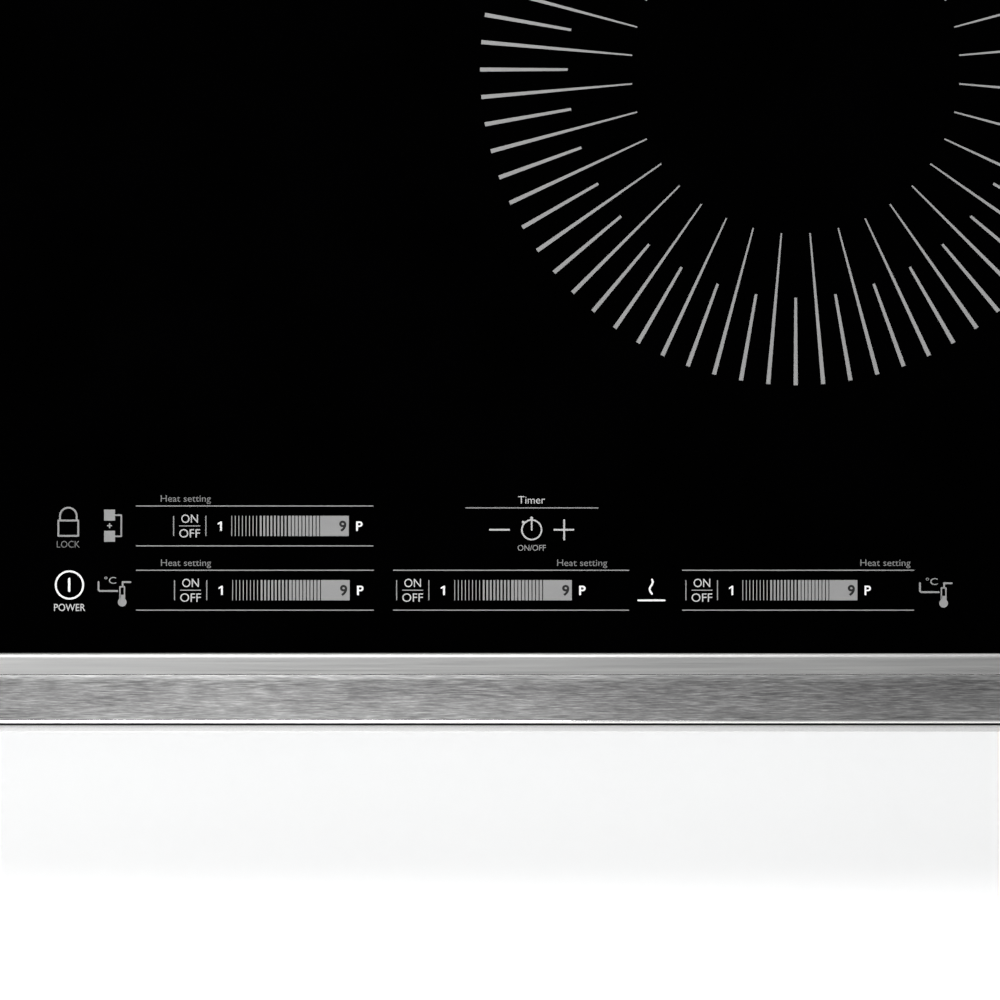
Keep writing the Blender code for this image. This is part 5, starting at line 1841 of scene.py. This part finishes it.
# %% Slotted screw
def slotted_screw(bm, centre, radius, height):
    """A cheese-head screw: two half-round jaws on a disc leave the slot between them."""
    profile = [(0, 0), (radius, 0), (radius, height * 0.45), (0, height * 0.45)]
    turned(bm, profile, 20, Matrix.Translation(centre))
    for turn in (0, 180):
        jaw = arc((0, 0), radius * 0.97, 12, 168, 9)
        place = Matrix.Translation(Vector(centre)) @ Matrix.Rotation(math.radians(turn), 4, "Z")
        prism(bm, jaw, height, place)


# %% Fill the terminal block
TERMINALS, TERMINAL_PITCH = 4, 13 * MM
CAGE_HALF = 4.4 * MM
block_low, block_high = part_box("terminal_block")
bm = bmesh.new()
cages = bmesh.new()
for i in range(TERMINALS):
    x = (block_low.x + block_high.x) / 2 + (i - (TERMINALS - 1) / 2) * TERMINAL_PITCH
    y, z = block_low.y + 9.2 * MM, block_low.z + 9.1 * MM
    for level in (0, 7 * MM):
        low = (x - 4.0 * MM, y - CAGE_HALF, z + level)
        box(cages, low, (x + 4.0 * MM, y + CAGE_HALF, z + level + 1.2 * MM), 0.2 * MM, 1)
    for side in (-1, 1):
        near, far = sorted((x + side * 2.9 * MM, x + side * 4.0 * MM))
        box(cages, (near, y - CAGE_HALF, z + 0.8 * MM), (far, y + CAGE_HALF, z + 7.4 * MM), 0.2 * MM, 1)
    slotted_screw(bm, (x, y, z + 8.2 * MM), 2.9 * MM, 2.2 * MM)
    rod(bm, (x, y, z + 3.2 * MM), (x, y, z + 8.3 * MM), 1.7 * MM, 16)
piece("terminal_screws", bm, zinc)
piece("terminal_cages", cages, copper)

# %% [markdown]
# The motor of each fan hangs from three screws in rubber grommets, which keep its hum out of the
# box, and the housing stands on rubber feet. Its three thin leads run over the housing and down to
# the board, so they are wires along a smooth path.

# %% Fan screws and grommets
GROMMET = [(0, 0), (6, 0), (6, 1.2), (4.6, 1.5), (4.6, 2.3), (5.4, 2.6), (5.4, 3.2), (0, 3.2)]
MOTOR_SCREWS = 24 * MM


def fan_screws(side, fan_x, fan_y):
    """Three screws in grommets round the motor, and four rubber feet under the housing."""
    low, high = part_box(f"fan_housing_{side}")
    bm, rubber = bmesh.new(), bmesh.new()
    for x, y in arc((fan_x, fan_y), MOTOR_SCREWS, 30, 270, 2):
        turned(rubber, [(r * MM, z * MM) for r, z in GROMMET], 24, Matrix.Translation((x, y, high.z)))
        hex_screw(bm, (x, y, high.z + 3.2 * MM), (0, 0, 1), 5 * MM, 2.2 * MM)
    for x, y in ((-56, 30), (-34, -52), (50, -44), (66, 60)):
        ear = Matrix.Translation((fan_x + x * MM, fan_y + y * MM, low.z - 2.2 * MM))
        turned(rubber, [(0, 0), (5 * MM, 0), (5 * MM, 2.2 * MM), (0, 2.2 * MM)], 20, ear)
    piece(f"fan_screws_{side}", bm, zinc, sharp=35)
    piece(f"fan_grommets_{side}", rubber, cable_sheath, sharp=50)


# %% Fan leads
LEAD_PATH = ((18, 10, 47.2), (4, 42, 47.4), (-6, 66, 46.9), (-11, 75.5, 36), (-13, 80, 24), (-13, 92, 18.4))
LEAD_PITCH = 2.0


def fan_leads(side, fan_x, fan_y):
    """Three thin leads side by side, from the motor over the housing to the board."""
    leads = bmesh.new()
    for k in (-1, 0, 1):
        points = [(fan_x + (x + k * LEAD_PITCH) * MM, fan_y + y * MM, z * MM) for x, y, z in LEAD_PATH]
        wire(leads, smooth_path(points, 6), 0.8 * MM, 1)
    piece(f"fan_leads_{side}", leads, red_silicone, sharp=60)


# %% Finish the two fans
for side, place in FAN_CENTRES.items():
    fan_screws(side, *place)
    fan_leads(side, *place)

# %% [markdown]
# ## Floor, light and camera
#
# The top is black glass and polished steel, so what it shows is what it reflects. Straight above
# it must stay dark, or the glass turns grey. So the soft lights stand round an open middle: long
# ones to the front and the rear, which light the slope and the rolled edges, and a large one on
# the left, from which the steel fades towards the right. The sky is dark overhead and pale at the
# horizon.


# %% Floor
FLOOR_HALF = 60
FLOOR_GLOW = (0.3, 0.55)
GLOW_RISES = (1.5, 6.0)


def floor():
    """A pale floor. It glows a little, more so far away, where no lamp reaches it and it would turn grey."""
    bm = bmesh.new()
    bmesh.ops.create_grid(bm, x_segments=1, y_segments=1, size=FLOOR_HALF)
    mesh = bpy.data.meshes.new("floor")
    bm.to_mesh(mesh)
    bm.free()
    made = finish("pale floor", 0.9, Emission_Color=(1, 1, 1, 1))
    distance = add(made, "ShaderNodeVectorMath", operation="LENGTH")
    link(made, place_on(made), distance.inputs[0])
    wear(made, "Emission Strength", spread(made, distance.outputs["Value"], *FLOOR_GLOW, *GLOW_RISES))
    speck = grain(made, 0.5, detail=2)
    wear(made, "Base Color", ramp(made, speck, (0.3, 0.94), (0.7, 0.97)))
    mesh.materials.append(made)
    obj = bpy.data.objects.new("floor", mesh)
    bpy.context.scene.collection.objects.link(obj)
    obj.location.z = cad_low.z - 0.2 * MM


floor()


# %% [markdown]
# The sky is a ramp on the height of the direction that a ray goes in: pale at the horizon, where
# the steel and the sides of the box look, and black overhead, where the glass looks.


# %% Sky
def sky(overhead, horizon):
    """A sky that is overhead grey straight up and horizon grey at the sides."""
    world = bpy.data.worlds.new("studio")
    world.use_nodes = True
    tree = world.node_tree
    where = tree.nodes.new("ShaderNodeTexCoord")
    split = tree.nodes.new("ShaderNodeSeparateXYZ")
    ramp_node = tree.nodes.new("ShaderNodeValToRGB")
    stops = ramp_node.color_ramp.elements
    stops[0].position, stops[1].position = 0.15, 0.92
    stops[0].color, stops[1].color = (horizon,) * 3 + (1,), (overhead,) * 3 + (1,)
    tree.links.new(where.outputs["Generated"], split.inputs["Vector"])
    tree.links.new(split.outputs["Z"], ramp_node.inputs["Fac"])
    tree.links.new(ramp_node.outputs["Color"], tree.nodes["Background"].inputs["Color"])
    bpy.context.scene.world = world


sky(0.0, 0.75)


# %% [markdown]
# The lamps are rectangular area lights. Bare ones show as hard white panels in the glass, so each
# gets the fall-off of a real soft box: a round gradient over its own face sets its strength.


# %% Soft box
def soft_light(name, place, target, size, power):
    """A soft box at place, aimed at target. It is brightest in the middle and fades out towards its edges."""
    light = bpy.data.lights.new(name, "AREA")
    light.shape = "RECTANGLE"
    light.size, light.size_y = size
    light.energy = power
    light.use_nodes = True
    tree = light.node_tree
    where = tree.nodes.new("ShaderNodeNewGeometry")
    centred = tree.nodes.new("ShaderNodeMapping")
    centred.inputs["Location"].default_value = (-1, -1, 0)
    centred.inputs["Scale"].default_value = (2, 2, 0)
    cone = tree.nodes.new("ShaderNodeTexGradient")
    cone.gradient_type = "SPHERICAL"
    fade = tree.nodes.new("ShaderNodeMapRange")
    fade.interpolation_type = "SMOOTHSTEP"
    fade.inputs["From Max"].default_value = 0.5
    fade.inputs["To Max"].default_value = 2.0
    tree.links.new(where.outputs["Parametric"], centred.inputs["Vector"])
    tree.links.new(centred.outputs["Vector"], cone.inputs["Vector"])
    tree.links.new(cone.outputs["Fac"], fade.inputs["Value"])
    tree.links.new(fade.outputs["Result"], tree.nodes["Emission"].inputs["Strength"])
    obj = bpy.data.objects.new(name, light)
    bpy.context.scene.collection.objects.link(obj)
    obj.location = place
    obj.rotation_mode = "QUATERNION"
    obj.rotation_quaternion = (Vector(target) - Vector(place)).to_track_quat("-Z", "Y")
    obj.visible_camera = False


# %% Place the lights
LOOK_AT = Vector((0.0, -0.15, glass_high.z))
soft_light("left light", (-1.8, -0.25, 1.7), LOOK_AT, (1.3, 2.4), 11.5)
soft_light("front light", (-0.25, -1.9, 1.0), LOOK_AT, (1.1, 0.8), 23)
soft_light("rear light", (-0.2, 0.95, 1.5), LOOK_AT, (1.7, 0.6), 25)
print(len(bpy.data.lights), "lights")

# %% [markdown]
# The camera looks straight down at the front of the panel. A long lens keeps the print square, and
# the width of the view is set where it matters, on the face of the glass.

# %% Camera
VIEW_WIDTH = 443.5 * MM
VIEW_MIDDLE = (44.35 * MM, -169.7 * MM)
LENS = 150
SENSOR = 36
camera = bpy.data.cameras.new("camera")
camera.lens = LENS
camera.sensor_width = SENSOR
camera.clip_end = 50
eye = bpy.data.objects.new("camera", camera)
bpy.context.scene.collection.objects.link(eye)
eye.location = (*VIEW_MIDDLE, glass_high.z + VIEW_WIDTH * LENS / SENSOR)
bpy.context.scene.camera = eye
bpy.context.scene.view_settings.view_transform = "Standard"
